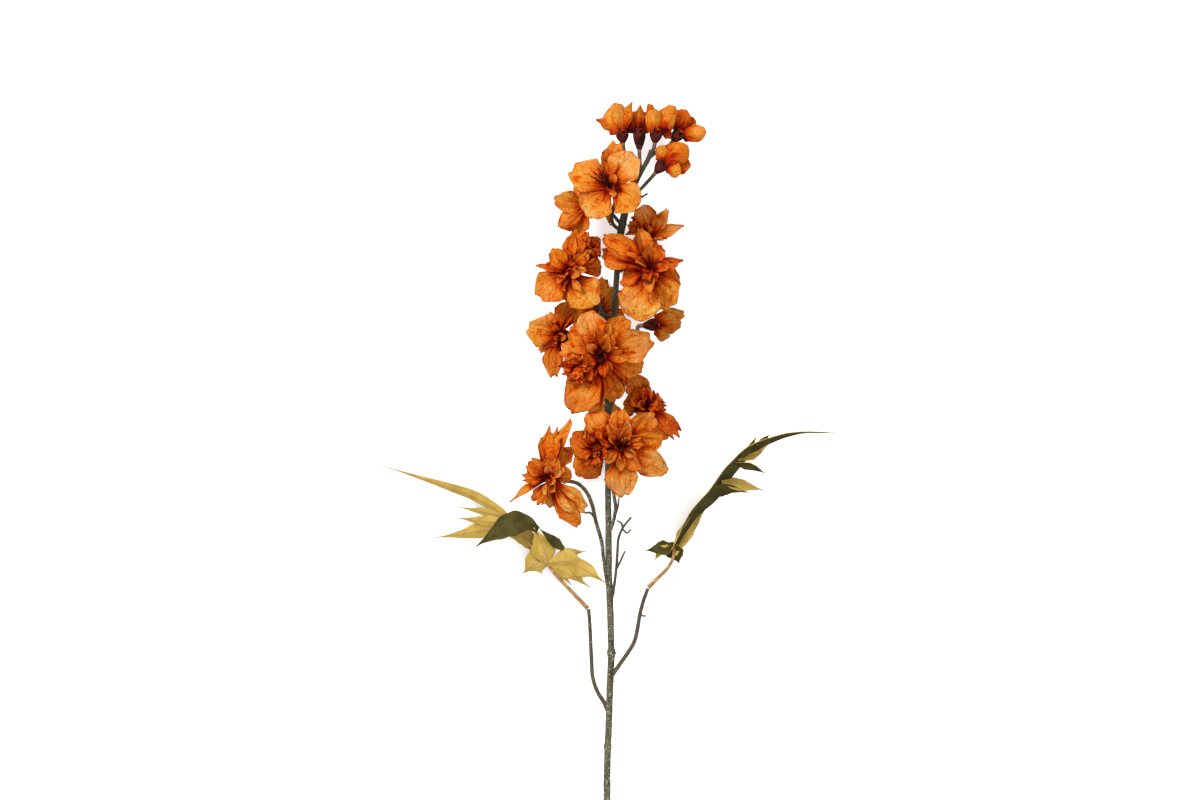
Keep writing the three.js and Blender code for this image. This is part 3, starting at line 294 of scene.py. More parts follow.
# %% Petal forms
FORM_KEYS = ("claw", "belly", "tip", "round", "cup", "rise", "curl", "ruffle", "ragged", "roll", "crinkle")
FORMS = {
    "wide": (0.32, 0.58, 0.85, 0.38, 0.34, 0.5, 0.35, 1.2, 0.02, 0.2, 0.8),
    "large": (0.32, 0.6, 0.85, 0.46, 0.34, 0.5, 0.35, 1.2, 0.02, 0.18, 0.8),
    "narrow": (0.3, 0.5, 0.2, 0.1, 0.8, 0.4, 0.35, 0.6, 0.0, 0.3, 0.6),
    "folded": (0.2, 0.55, 0.55, 0.3, 1.15, 0.5, 0.1, 0.9, 0.03, 0.5, 0.9),
    "inner": (0.3, 0.6, 0.6, 0.25, 0.9, 0.5, -0.1, 0.8, 0.03, 0.35, 1.0),
    "torn": (0.2, 0.6, 0.85, 0.2, 0.5, 0.5, 0.3, 2.1, 0.06, 0.3, 1.6),
    "hood": (0.65, 0.6, 0.75, 0.4, 0.95, 0.15, -0.45, 0.5, 0.01, 0.3, 0.5),
    "spoon": (0.3, 0.66, 0.75, 0.4, 1.25, 0.3, 0.25, 0.6, 0.0, 0.35, 0.5),
}
FORMS = {name: dict(zip(FORM_KEYS, values)) for name, values in FORMS.items()}
print(len(FORMS), "petal forms")

# %% [markdown]
# ## The heart of a bloom
# All petals of a real bloom are pushed onto one core. It is wider and taller the more petals it has to
# hold, and the steeper petals sit further up on it and nearer to its axis. These few sizes place every
# petal's foot.

# %% Heart, calyx and stem of a bloom
HEART_RADIUS = (2.2, 0.22)  # mm, and mm more for each petal
HEART_HEIGHT = (1.5, 0.2)
HEART_TAPER = 0.3
CALYX_RIM = 4.6
CALYX_FOOT = 1.7


def axis_of(bloom):
    return unit(bloom["axis"])


def heart_of(bloom):
    return np.array(bloom["heart"], float)


def heart_size(bloom):
    count = len(bloom["petals"])
    return HEART_RADIUS[0] + HEART_RADIUS[1] * count, HEART_HEIGHT[0] + HEART_HEIGHT[1] * count


def calyx_foot(bloom):
    return heart_of(bloom) - axis_of(bloom) * bloom["calyx"]


def stem_at(height):
    points = np.array(STEM, float)
    return np.array([np.interp(height, points[:, 1], points[:, k]) for k in range(3)])


print("the heart of bloom 13 is", heart_size(BLOOMS[12]), "mm in radius and height")

# %% [markdown]
# ## Fences
# Neighbouring blooms touch but never pass through each other. Each bloom gets planes that fence it in: one
# on the surface below, one along the stem, one toward each neighbour. A point that comes near a fence is
# turned away softly, the way cloth bends where it is pressed, and never ends beyond it. Letting real cloth
# fall and collide would do it too, but the petals would no longer end where the plan puts them.

# %% Fences round a bloom
SOFT_EDGE = 1.0  # mm before a fence in which the cloth turns away
FLOOR_EDGE = 0.6
SOFT_REACH = 4  # the turn is felt this many edges away
FLOOR_GAP = 0.35
FENCE_MARGIN = 0.55
FENCE_RANGE = 85  # neighbours further than this need no fence
FENCE_NEAREST = 0.25  # a fence stands at least this share of the way to the neighbour
FENCE_PASSES = 6
FLOOR_FENCE = (UP, FLOOR_GAP, FLOOR_EDGE)


def reach(bloom, direction):
    tips = [np.dot(petal[:3], direction) for petal in bloom["petals"]]
    foot = np.dot(calyx_foot(bloom) - bloom["heart"], direction) + CALYX_FOOT
    return max(CALYX_RIM, foot, *tips)


def fences_of(bloom):
    """Rows of a plane's normal, how far out it lies, and how wide its soft edge is."""
    heart = heart_of(bloom)
    fences = [FLOOR_FENCE]
    stem = stem_at(min(heart[1], STEM[-1][1]))
    aside = (heart - stem) * (1, 0, 1)
    if np.linalg.norm(aside) > 2 * CALYX_RIM:
        aside = unit(aside)
        fences.append((aside, stem @ aside + STEM[0][3] + FENCE_MARGIN, SOFT_EDGE))
    for other in BLOOMS:
        toward = np.array(other["heart"]) - heart
        apart = np.linalg.norm(toward)
        if other is bloom or apart > FENCE_RANGE:
            continue
        toward = unit(toward)
        half = (reach(bloom, toward) + apart - reach(other, -toward)) / 2
        stand = min(max(half, FENCE_NEAREST * apart), (1 - FENCE_NEAREST) * apart)
        fences.append((-toward, heart @ -toward - stand + FENCE_MARGIN, SOFT_EDGE))
    return fences


def keep_clear(points, fences):
    points = points.copy()
    for normal, offset, edge in fences:
        depth = points @ normal - offset
        near = depth < SOFT_REACH * edge
        free = edge * np.log1p(np.exp(np.minimum(depth, SOFT_REACH * edge) / edge))
        points += np.where(near, free - depth, 0)[..., None] * normal
    for _ in range(FENCE_PASSES):
        for normal, offset, _ in fences:
            points += np.maximum(0, offset - points @ normal)[..., None] * normal
    return points


print("bloom 13 has", len(fences_of(BLOOMS[12])), "fences")

# %% [markdown]
# ## Crinkles
# The cloth was wetted and crushed, so it is full of sharp little creases. A sum of folded sine waves in
# random directions does this: the absolute value of a sine has a sharp valley at each zero. Smooth noise
# would make soft dents like those in leather. The draws are seeded, so each run makes the same petals.

# %% Creased cloth
MEAN_FOLD = 0.64  # the mean of a folded sine
PITCHES = (0.6, 1.6)  # how far apart creases lie, as a share of the size
BENDS = (0.5, 1.2)  # how far a crease bends, in radians
ANY_PHASE = (0, 6.3)


def creases(x, y, seed, waves=6, size=4.6):
    """Height of sharp creases over a flat cloth, about -1 to 1, for x and y in mm."""
    rng = np.random.default_rng(int(seed * 7919) % 100003)
    height = np.zeros_like(x)
    for _ in range(waves):
        angle = rng.uniform(0, math.pi)
        pitch = size * rng.uniform(*PITCHES)
        bend = rng.uniform(*BENDS) * np.sin(y / pitch + rng.uniform(*ANY_PHASE))
        height += np.abs(np.sin((x * math.cos(angle) + y * math.sin(angle)) / pitch + bend)) - MEAN_FOLD
    return height / waves * 2


print("creases at three places:", creases(np.array([0.0, 1.5, 3.0]), np.zeros(3), 1).round(2))

# %% [markdown]
# ## The bones and the outline of a petal
# The midrib is a Bezier curve from the heart to the tip, which leaves steeply and arrives as the form says.
# Across it the petal opens from its claw to its belly and rounds off at the end, where the cut edge is a
# little uneven. The layer says how far up the heart a petal sits: 0 is the lowest and 1 the steepest of
# all.

# %% Petal bones and outline
FOOT_DEPTH = 0.8
LAYER_RISE = 0.5
MIDRIB_PULL = 0.36
HOOD_FOOT = (3.2, 1.5)  # mm out from the axis and mm below the heart
END_CURVE = 3
EDGE_WAVES = ((0.018, 7, 2), (0.012, 17, 5))  # height, how many across, and how far the phase shifts each
END_TEARS = 9
SIDE_NOTCHES = (0.03, 17)  # depth as a share of the width, and how many along a side


def layer_of(bloom, petal):
    axis = axis_of(bloom)
    steep = unit(petal[:3]) @ axis
    below = sum(unit(other[:3]) @ axis < steep - 1e-9 for other in bloom["petals"])
    return below / (len(bloom["petals"]) - 1)


def petal_bones(bloom, petal):
    """The four points that steer the midrib, and the direction across it."""
    axis, heart, form = axis_of(bloom), heart_of(bloom), FORMS[petal[4]]
    offset = np.array(petal[:3], float)
    radial = unit(offset - axis * (axis @ offset))
    layer = layer_of(bloom, petal)
    radius, height = heart_size(bloom)
    outward = radial * FOOT_DEPTH * radius * (1 - HEART_TAPER * layer)
    foot = heart + outward + axis * FOOT_DEPTH * height * layer
    if petal[4] == "hood":
        foot = heart + radial * HOOD_FOOT[0] - axis * HOOD_FOOT[1]
    tip = heart + offset
    length = np.linalg.norm(tip - foot)
    straight = unit(tip - foot)
    leave = unit(straight + axis * (form["rise"] + layer * LAYER_RISE))
    arrive = unit(straight - axis * form["curl"])
    bones = [foot, foot + leave * MIDRIB_PULL * length, tip - arrive * MIDRIB_PULL * length, tip]
    return bones, unit(np.cross(axis, radial))


def petal_outline(form, width, t, u, phase):
    """How far along the midrib each point lies, from 0 to 1, and half the petal's width there."""
    first, second = [high * np.sin(count * t + shift * phase) for high, count, shift in EDGE_WAVES]
    torn = form["ragged"] * np.sin(END_TEARS * t + phase) * u**3 + (first + second) * form["crinkle"] * u**4
    along = u - form["round"] * u**3 * np.abs(t) ** END_CURVE - torn
    spread = form["claw"] + (1 - form["claw"]) * smooth(along / form["belly"])
    close = 1 - (1 - form["tip"]) * smooth((along - form["belly"]) / (1 - form["belly"]))
    deep, many = SIDE_NOTCHES
    notch = 1 + deep * form["crinkle"] * np.sin(many * u + 3 * phase) * np.abs(t)
    return along, width / 2 * spread * close * notch


print("petal bones ready")

# %% [markdown]
# ## The relief and the surface of a petal
# The sides roll up and wave along the edge. On top come a frilled rim, a groove along the midrib, pleats at
# the claw, a fan of folds that run from claw to end, and the creases. The deepest parts of fan and creases
# are noted, so that the petal material paints shade into them. A bump map could fake all this from above,
# but the stem is seen from all sides, and only real folds cast their own shade.

# %% Petal relief and surface
FAN_DEPTH = 0.95
FAN_FOLDS = (0.8, 0.9)  # on each side of the midrib, and added by a draw
# the next values set where painted crease shade falls in the deepest folds and creases
FAN_BOTTOM, CREASE_BOTTOM = 0.72, 0.6  # what lifts the deepest fold or crease to about zero
VALLEY = 0.42  # how far above its bottom a fold still counts as deep
CREASE_DEPTH = 0.4
FRILL_HEIGHT = 0.55  # as a share of the form's ruffle
GROOVE = (0.35, 0.1)  # mm deep, and how wide as a share of half the petal
PLEATS = (0.3, 11)  # mm high, and how many across
ROLL_SPREAD = (0.7, 0.6)  # how a petal's roll differs from its form's


def petal_relief(form, half, length, t, u, seed, phase):
    """How far the cloth rises from its bones in mm, and the painted crease shade at each point, 0 to 1."""
    cup = form["cup"]
    wave = form["ruffle"] * u * np.abs(t) ** 1.5 * np.sin(5.5 * u + phase + 1.7 * t)
    frill = FRILL_HEIGHT * form["ruffle"] * (u**5 + 0.6 * u * t**6) * np.sin(8 * t + 9 * u + 2.3 * phase)
    groove = -GROOVE[0] * np.exp(-((t / GROOVE[1]) ** 2)) * np.sin(math.pi * u)
    pleats = PLEATS[0] * np.sin(PLEATS[1] * t + phase) * np.exp(-u / 0.4) * smooth(u * 4)
    folds = FAN_FOLDS[0] + FAN_FOLDS[1] * draw(seed + 0.61)
    fan = np.abs(np.sin(math.pi * folds * t + 1.2 * np.sin(2.6 * u + phase) + phase)) - MEAN_FOLD
    fan = fan * smooth(u * 3) * (1 - 0.7 * u**3)
    crush = creases(t * half, u * length, seed)
    fanned = FAN_DEPTH * fan * np.minimum(half / 6, 1.3)
    cloth = form["crinkle"] * (fanned + CREASE_DEPTH * crush * smooth(u * 3))
    raised = half * (1 - np.cos(cup * t)) / cup + wave + frill + groove + pleats + cloth
    # painted crease shade: 1 in the deepest folds and creases, which the petal material darkens
    crease_shade = 1 - smooth(np.minimum(fan + FAN_BOTTOM, 0.8 * crush + CREASE_BOTTOM) / VALLEY)
    return raised, crease_shade


def petal_grid(bloom, petal, seed, fences, rows, columns):
    """The middle of a petal's cloth: points, t (-1 to 1), u (0 to 1) and the painted crease shade at each."""
    form = FORMS[petal[4]]
    (p0, p1, p2, p3), side = petal_bones(bloom, petal)
    length = np.linalg.norm(p3 - p0)
    turn = math.radians(petal[5]) if len(petal) > 5 else 0
    roll = form["roll"] * (ROLL_SPREAD[0] + ROLL_SPREAD[1] * draw(seed)) + turn
    phase = 2 * math.pi * draw(seed + 0.37)
    u, t = np.meshgrid(np.linspace(0, 1, rows + 1), np.linspace(-1, 1, columns + 1), indexing="ij")
    along, half = petal_outline(form, petal[3], t, u, phase)
    raised, crease_shade = petal_relief(form, half, length, t, u, seed, phase)

    s = along[..., None]
    point = (1 - s) ** 3 * p0 + 3 * (1 - s) ** 2 * s * p1 + 3 * (1 - s) * s**2 * p2 + s**3 * p3
    tangent = unit((1 - s) ** 2 * (p1 - p0) + 2 * (1 - s) * s * (p2 - p1) + s**2 * (p3 - p2))
    normal = unit(np.cross(tangent, side))
    across = side * math.cos(roll) + normal * math.sin(roll)
    lift = normal * math.cos(roll) - side * math.sin(roll)
    out = half * np.sin(form["cup"] * t) / form["cup"]
    point = point + across * out[..., None] + lift * raised[..., None]
    return keep_clear(point, fences), t, u, crease_shade


print("petal surface ready")

# %% [markdown]
# ## From points to meshes
# Cloth has two faces and a rim, a stem or a calyx is a stack of rings. Both are collected as plain lists
# and turned into one mesh for each piece, with a UV map across and along the petal, a second one in
# centimetres of cloth for the print, and a colour attribute that says how a part of the piece differs from
# the rest. A thin solid could come from a Solidify modifier, but here its two faces can carry different
# materials at once.

# %% Collect shells and rings
def new_parts():
    lists = {key: [] for key in ("points", "faces", "petal", "cloth", "tone", "slots", "flat")}
    return {**lists, "count": 0}


def add_points(parts, points, petal, cloth, tone):
    start = parts["count"]
    parts["points"].append(points)
    parts["petal"].append(petal)
    parts["cloth"].append(cloth)
    parts["tone"].append(np.broadcast_to(tone, (len(points), 4)))
    parts["count"] += len(points)
    return start


def add_faces(parts, faces, slot=0, flat=False):
    parts["faces"] += [tuple(face) for face in faces]
    parts["slots"] += [slot] * len(faces)
    parts["flat"] += [flat] * len(faces)


def add_shell(parts, grid, petal, cloth, tone, thickness, slots=(0, 0)):
    """Cloth of an even thickness over a grid of points; slots are the materials of its two faces."""
    rows, columns = grid.shape[0] - 1, grid.shape[1] - 1
    out = unit(np.cross(np.gradient(grid, axis=1), np.gradient(grid, axis=0))) * thickness / 2
    both_faces = np.concatenate([(grid + out).reshape(-1, 3), (grid - out).reshape(-1, 3)])
    maps = [np.concatenate([values.reshape(-1, 2)] * 2) for values in (petal, cloth)]
    start = add_points(parts, both_faces, *maps, tone)
    under = (rows + 1) * (columns + 1)
    index = start + np.arange(under).reshape(rows + 1, columns + 1)
    a, b, c, d = index[:-1, :-1], index[:-1, 1:], index[1:, 1:], index[1:, :-1]
    add_faces(parts, np.stack([a, b, c, d], -1).reshape(-1, 4).tolist(), slots[0])
    add_faces(parts, (np.stack([a, d, c, b], -1) + under).reshape(-1, 4).tolist(), slots[1])
    rim = [*index[0, :-1], *index[:-1, -1], *index[-1, :0:-1], *index[:0:-1, 0]]
    walls = [(p, p + under, q + under, q) for p, q in zip(rim, rim[1:] + rim[:1])]
    add_faces(parts, walls, slots[0], flat=True)


def add_rings(parts, rings, tone, slot=0):
    """Closed rings of points joined one to the next, with a cap at each end."""
    rings = np.asarray(rings)
    count, sides = rings.shape[:2]
    turn, rise = np.meshgrid(np.arange(sides) / sides, np.arange(count) / (count - 1))
    uv = np.stack([turn, rise], -1).reshape(-1, 2)
    start = add_points(parts, rings.reshape(-1, 3), uv, uv, tone)
    index = start + np.arange(count * sides).reshape(count, sides)
    a, d = index[:-1], index[1:]
    b, c = np.roll(a, -1, 1), np.roll(d, -1, 1)
    add_faces(parts, np.stack([a, b, c, d], -1).reshape(-1, 4).tolist(), slot)
    add_faces(parts, [index[0, ::-1].tolist(), index[-1].tolist()], slot, flat=True)


print("shells and rings ready")

# %% Turn the lists into a piece that rides on the stem
def finish_piece(name, parts, materials, node):
    mesh = bpy.data.meshes.new(name)
    mesh.from_pydata(in_frame(np.concatenate(parts["points"])).tolist(), [], parts["faces"])
    corners = np.empty(len(mesh.loops), int)
    mesh.loops.foreach_get("vertex_index", corners)
    for layer in ("petal", "cloth"):
        values = np.concatenate(parts[layer])[corners]
        mesh.uv_layers.new(name=layer).data.foreach_set("uv", values.ravel())
    tone = mesh.attributes.new("tone", "FLOAT_COLOR", "POINT")
    tone.data.foreach_set("color", np.concatenate(parts["tone"]).astype(float).ravel())
    for material in materials:
        mesh.materials.append(material)
    mesh.polygons.foreach_set("material_index", parts["slots"])
    mesh.polygons.foreach_set("use_smooth", [not flat for flat in parts["flat"]])
    mesh.update()
    piece = bpy.data.objects.new(name, mesh)
    bpy.context.scene.collection.objects.link(piece)
    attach(piece, "root")
    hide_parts(node)
    return piece


print("pieces can be finished and set on the stem")

# %% Rings round a bloom
RING_SIDES = 60


def square_to(direction):
    """Two directions square to the given one and to each other."""
    first = np.array([0, 0, 1.0]) if abs(direction[2]) < 0.9 else np.array([0, 1.0, 0])
    first = unit(np.cross(first, direction))
    return first, unit(np.cross(direction, first))


def ring_round(bloom, heights, radii):
    """A ring of points round the bloom's axis; heights and radii are numbers or one value for each point."""
    axis = axis_of(bloom)
    first, second = square_to(axis)
    angle = 2 * math.pi * np.arange(RING_SIDES) / RING_SIDES
    out = np.outer(np.cos(angle), first) + np.outer(np.sin(angle), second)
    radii = np.broadcast_to(radii, RING_SIDES)[:, None]
    heights = np.broadcast_to(heights, RING_SIDES)[:, None]
    return heart_of(bloom) + out * radii + axis * heights


print("a ring has", RING_SIDES, "points")

# %% [markdown]
# ## Colours and node helpers
# Colours are written as they should show on the screen and turned into the linear values that Blender
# reckons with. The studio is lit so brightly that the pale surface is just white, so every dye is darker
# than it shows, by the same factor. Short helpers keep the node trees readable: they add a node with its
# inputs, or a sum.

# %% Node helpers
BRIGHTNESS = 1.4


def paint(code):
    """A shown colour such as #d9761e as the linear red, green, blue and alpha of its dye."""
    values = [int(code[k : k + 2], 16) / 255 for k in (1, 3, 5)]
    return (*[(v / 12.92 if v <= 0.04045 else ((v + 0.055) / 1.055) ** 2.4) / BRIGHTNESS for v in values], 1)


def add(tree, kind, inputs=(), **settings):
    """A new node: inputs are values or other nodes' outputs, settings are the node's own choices."""
    made = tree.nodes.new("ShaderNode" + kind)
    for key, value in settings.items():
        setattr(made, key, value)
    for key, value in dict(inputs).items():
        if isinstance(value, bpy.types.NodeSocket):
            tree.links.new(value, made.inputs[key])
        else:
            made.inputs[key].default_value = value
    return made


def maths(tree, operation, a, b=0.0, clamp=False):
    return add(tree, "Math", {0: a, 1: b}, operation=operation, use_clamp=clamp).outputs[0]


def spread_to(tree, value, low, high, to_low=0.0, to_high=1.0):
    """A value between low and high taken softly to the range from to_low to to_high."""
    limits = {0: value, 1: low, 2: high, 3: to_low, 4: to_high}
    return add(tree, "MapRange", limits, interpolation_type="SMOOTHSTEP").outputs[0]


def mixed(tree, share, a, b, blend="MIX"):
    return add(tree, "Mix", {0: share, 6: a, 7: b}, data_type="RGBA", blend_type=blend).outputs[2]


def graded(tree, value, stops):
    """A colour that goes through stops, each a place from 0 to 1 and a screen colour."""
    made = add(tree, "ValToRGB", {0: value})
    band = made.color_ramp.elements
    for k, (place, code) in enumerate(stops):
        stop = band[k] if k < 2 else band.new(place)
        stop.position, stop.color = place, paint(code)
    return made.outputs[0]


def summed(tree, start, *terms):
    """Start plus each value times its weight."""
    for value, weight in terms:
        start = maths(tree, "ADD", start, maths(tree, "MULTIPLY", value, weight))
    return start


def new_group(name, inputs, outputs):
    """An empty node group: inputs are rows of label, kind (Float or Vector) and value, outputs are labels."""
    tree = bpy.data.node_groups.new(name, "ShaderNodeTree")
    for label, kind, value in inputs:
        socket = tree.interface.new_socket(label, in_out="INPUT", socket_type="NodeSocket" + kind)
        if kind == "Float":
            socket.default_value = value
    for label in outputs:
        tree.interface.new_socket(label, in_out="OUTPUT", socket_type="NodeSocketFloat")
    return tree, tree.nodes.new("NodeGroupInput").outputs, tree.nodes.new("NodeGroupOutput").inputs


def use(tree, group, inputs):
    return add(tree, "Group", inputs, node_tree=group).outputs


def new_material(name, roughness, shine=0.2):
    made = bpy.data.materials.new(name)
    made.use_nodes = True
    shader = made.node_tree.nodes["Principled BSDF"]
    shader.inputs["Roughness"].default_value = roughness
    shader.inputs["Specular IOR Level"].default_value = shine
    return made, made.node_tree, shader


print("the dye of a shown mid orange is", [round(v, 3) for v in paint("#d9761e")])

# %% [markdown]
# ## Effects that several materials share
# Veins run along a petal or a leaf in wandering lines that come and go. A net of fine cracks is left where
# crushed cloth was printed. Mottling is patchy noise. Weave is the fine grain of the cloth, which only
# shows as bumps. Each could be painted on a map, but made from formulas it stays sharp from near by. Each
# is a group, made once and given its own values in every material.

# %% Shader groups
def make_veins():
    rows = [("Across", "Float", 0), ("Cloth", "Vector", 0), ("Count", "Float", 7), ("Wander", "Float", 0.8),
            ("Thin", "Float", 0.12)]
    tree, given, put = new_group("veins", rows, ["Mask"])
    wander = add(tree, "TexNoise", {"Vector": given["Cloth"], "Scale": 2.2, "Detail": 2}).outputs[0]
    shift = maths(tree, "MULTIPLY", maths(tree, "SUBTRACT", wander, 0.5), given["Wander"])
    line = maths(tree, "ADD", maths(tree, "MULTIPLY", given["Across"], given["Count"]), shift)
    mask = spread_to(tree, maths(tree, "PINGPONG", line, 0.5), 0, given["Thin"], 1, 0)
    fade = add(tree, "TexNoise", {"Vector": given["Cloth"], "Scale": 1.3, "Detail": 1}).outputs[0]
    tree.links.new(maths(tree, "MULTIPLY", mask, spread_to(tree, fade, 0.35, 0.65, 0.15, 1)), put["Mask"])
    return tree


def make_net():
    rows = [("Cloth", "Vector", 0), ("Scale", "Float", 2.5), ("Thin", "Float", 0.05)]
    tree, given, put = new_group("crackle net", rows, ["Mask", "Height"])
    bend = add(tree, "TexNoise", {"Vector": given["Cloth"], "Scale": 1.6, "Detail": 3}).outputs[1]
    shaken = add(tree, "VectorMath", {0: bend, 1: (0.9, 0.9, 0.9)}, operation="MULTIPLY").outputs[0]
    moved = add(tree, "VectorMath", {0: given["Cloth"], 1: shaken}, operation="ADD").outputs[0]
    cells = add(tree, "TexVoronoi", {"Vector": moved, "Scale": given["Scale"]}, feature="DISTANCE_TO_EDGE")
    edge = spread_to(tree, cells.outputs["Distance"], 0, given["Thin"], 1, 0)
    fade = add(tree, "TexNoise", {"Vector": given["Cloth"], "Scale": 0.9, "Detail": 1}).outputs[0]
    tree.links.new(maths(tree, "MULTIPLY", edge, spread_to(tree, fade, 0.4, 0.62)), put["Mask"])
    tree.links.new(maths(tree, "MINIMUM", cells.outputs["Distance"], 0.3), put["Height"])
    return tree


def make_mottle():
    rows = [("Place", "Vector", 0), ("Scale", "Float", 5), ("Low", "Float", 0.4), ("High", "Float", 0.6)]
    tree, given, put = new_group("mottle", rows, ["Mask"])
    cloud = add(tree, "TexNoise", {"Vector": given["Place"], "Scale": given["Scale"], "Detail": 5}).outputs[0]
    tree.links.new(spread_to(tree, cloud, given["Low"], given["High"]), put["Mask"])
    return tree


def make_weave():
    tree, given, put = new_group("weave", [("Cloth", "Vector", 0), ("Scale", "Float", 18)], ["Height"])
    looks = {"Vector": given["Cloth"], "Scale": given["Scale"], "Distortion": 1.5}
    threads = [add(tree, "TexWave", looks, bands_direction=way).outputs[1] for way in ("X", "Y")]
    tree.links.new(maths(tree, "MULTIPLY", *threads), put["Height"])
    return tree


VEINS, NET, MOTTLE, WEAVE = make_veins(), make_net(), make_mottle(), make_weave()
print("groups:", [group.name for group in (VEINS, NET, MOTTLE, WEAVE)])

# %% [markdown]
# ## What a material starts from
# Four things tell a material where it is: how far across and along a petal, where on the cloth in
# centimetres, where in the object in metres, and the tone attribute that each piece fills in its own way.

# %% Starting points of a material
def petal_map(tree):
    uv = add(tree, "UVMap", uv_map="petal").outputs[0]
    return add(tree, "SeparateXYZ", {0: uv}).outputs[:2]


def cloth_map(tree):
    return add(tree, "UVMap", uv_map="cloth").outputs[0]


def place_in(tree):
    return add(tree, "TexCoord").outputs["Object"]


def tone_of(tree):
    mark = add(tree, "Attribute", attribute_name="tone").outputs
    tone = add(tree, "SeparateColor", {0: mark["Color"]}).outputs
    return (*tone[:3], mark["Alpha"])


def mottled(tree, place, scale, low, high):
    return use(tree, MOTTLE, {"Place": place, "Scale": scale, "Low": low, "High": high})["Mask"]


def veined(tree, across, cloth, count, wander, thin):
    lines = {"Across": across, "Cloth": cloth, "Count": count, "Wander": wander, "Thin": thin}
    return use(tree, VEINS, lines)["Mask"]


def add_bump(tree, shader, height, distance):
    bump = add(tree, "Bump", {"Height": height, "Distance": distance})
    tree.links.new(bump.outputs[0], shader.inputs["Normal"])


print("a material can ask for the petal map, the cloth map, the place and the tone")

# %% [markdown]
# ## Petal cloth
# The real petals are printed cloth: orange that is paler on the belly and deep rust toward the heart, partly
# deeper dye and partly painted shade where the petals overlap near the claw. It has darker veins that fan out
# from the claw, a net of creases that took up more dye, and a burnt rim where the cloth was singed. Painted
# shade darkens the deepest folds and creases, and cloth within 20 mm of other cloth, as ambient occlusion
# finds it. All of these are added up to one value, how pale the cloth is, which a graded band turns into a
# colour. Two faint tints, one a little yellower and one a little pinker, drift over it in large patches.
# Cloth in that painted shade is then tinted redder, a painted bounce light off the orange cloth around it.
# The tone attribute holds the petal's own shade in red, how singed it is in green, how dark its claw is in
# blue, and the painted crease shade in alpha.

# %% Petal material
PETAL_BAND = [(0.0, "#480501"), (0.14, "#801202"), (0.27, "#a42503"), (0.36, "#b13604"), (0.5, "#c2500d"),
              (0.66, "#cf6a18"), (0.84, "#d38333"), (1.0, "#d9a564")]
PETAL_HEART = "#4c140c"
PETAL_TINTS = ((1, 1.12, 0.75, 1), (1, 0.93, 1.1, 1))
# painted bounce light and painted shade: the red tint of cloth near other cloth, and how far ambient
# occlusion looks for it
PAINTED_BOUNCE_TINT = (1, 0.5, 0.32, 1)
PAINTED_SHADE_REACH = 0.02  # metres


def petal_cloth():
    made, tree, shader = new_material("petal cloth", 0.85, shine=0.04)
    across, along = petal_map(tree)
    cloth = cloth_map(tree)
    shade, scorch, claw, crease = tone_of(tree)
    patches = mottled(tree, cloth, 1.1, 0.3, 0.7)
    grain = mottled(tree, cloth, 6.0, 0.3, 0.7)
    veins = veined(tree, across, cloth, 6.5, 1.6, 0.09)
    net = use(tree, NET, {"Cloth": cloth, "Scale": 1.5, "Thin": 0.06})
    web = use(tree, NET, {"Cloth": cloth, "Scale": 3.7, "Thin": 0.09})["Mask"]
    # painted shade: ambient occlusion marks cloth within reach of other cloth
    air = add(tree, "AmbientOcclusion", {"Distance": PAINTED_SHADE_REACH}, samples=8).outputs["AO"]
    painted_shade = maths(tree, "SUBTRACT", 1, air)
    side = maths(tree, "ABSOLUTE", maths(tree, "SUBTRACT", maths(tree, "MULTIPLY", across, 2), 1))
    rim = maths(tree, "MAXIMUM", spread_to(tree, side, 0.92, 1), spread_to(tree, along, 0.955, 1))
    burnt = maths(tree, "MULTIPLY", rim, maths(tree, "ADD", maths(tree, "MULTIPLY", scorch, 0.6), 0.35))
    singed = maths(tree, "MULTIPLY", scorch, spread_to(tree, patches, 0.2, 0.8))
    # darker toward the claw: partly deeper dye, partly painted shade where the petals overlap
    base = spread_to(tree, along, 0.05, 0.6, 0.03, 0.52)
    # painted shade: deep creases and cloth near other cloth lower the paleness
    pale = summed(
        tree, base, (patches, 0.2), (shade, 0.34), (grain, 0.07), (crease, -0.34), (veins, -0.38),
        (net["Mask"], -0.34), (web, -0.12), (singed, -0.22), (painted_shade, -0.24), (burnt, -0.65),
    )
    tint = mixed(tree, mottled(tree, cloth, 0.3, 0.35, 0.65), *PETAL_TINTS)
    colour = mixed(tree, 1.0, graded(tree, pale, PETAL_BAND), tint, blend="MULTIPLY")
    # painted bounce light: cloth in painted shade turns redder
    painted_bounce = maths(tree, "MULTIPLY", painted_shade, 1.2, clamp=True)
    colour = mixed(tree, painted_bounce, colour, PAINTED_BOUNCE_TINT, blend="MULTIPLY")
    streaks = maths(tree, "ADD", maths(tree, "MULTIPLY", veins, 0.7), 0.3)
    deep = maths(tree, "MULTIPLY", spread_to(tree, along, 0.02, 0.32, 1, 0), claw)
    colour = mixed(tree, maths(tree, "MULTIPLY", deep, streaks), colour, paint(PETAL_HEART))
    tree.links.new(colour, shader.inputs["Base Color"])
    weave = use(tree, WEAVE, {"Cloth": cloth, "Scale": 14.0})["Height"]
    add_bump(tree, shader, summed(tree, net["Height"], (weave, 0.06), (veins, -0.25)), 0.0012)
    return made


PETAL = petal_cloth()
print("made", PETAL.name)
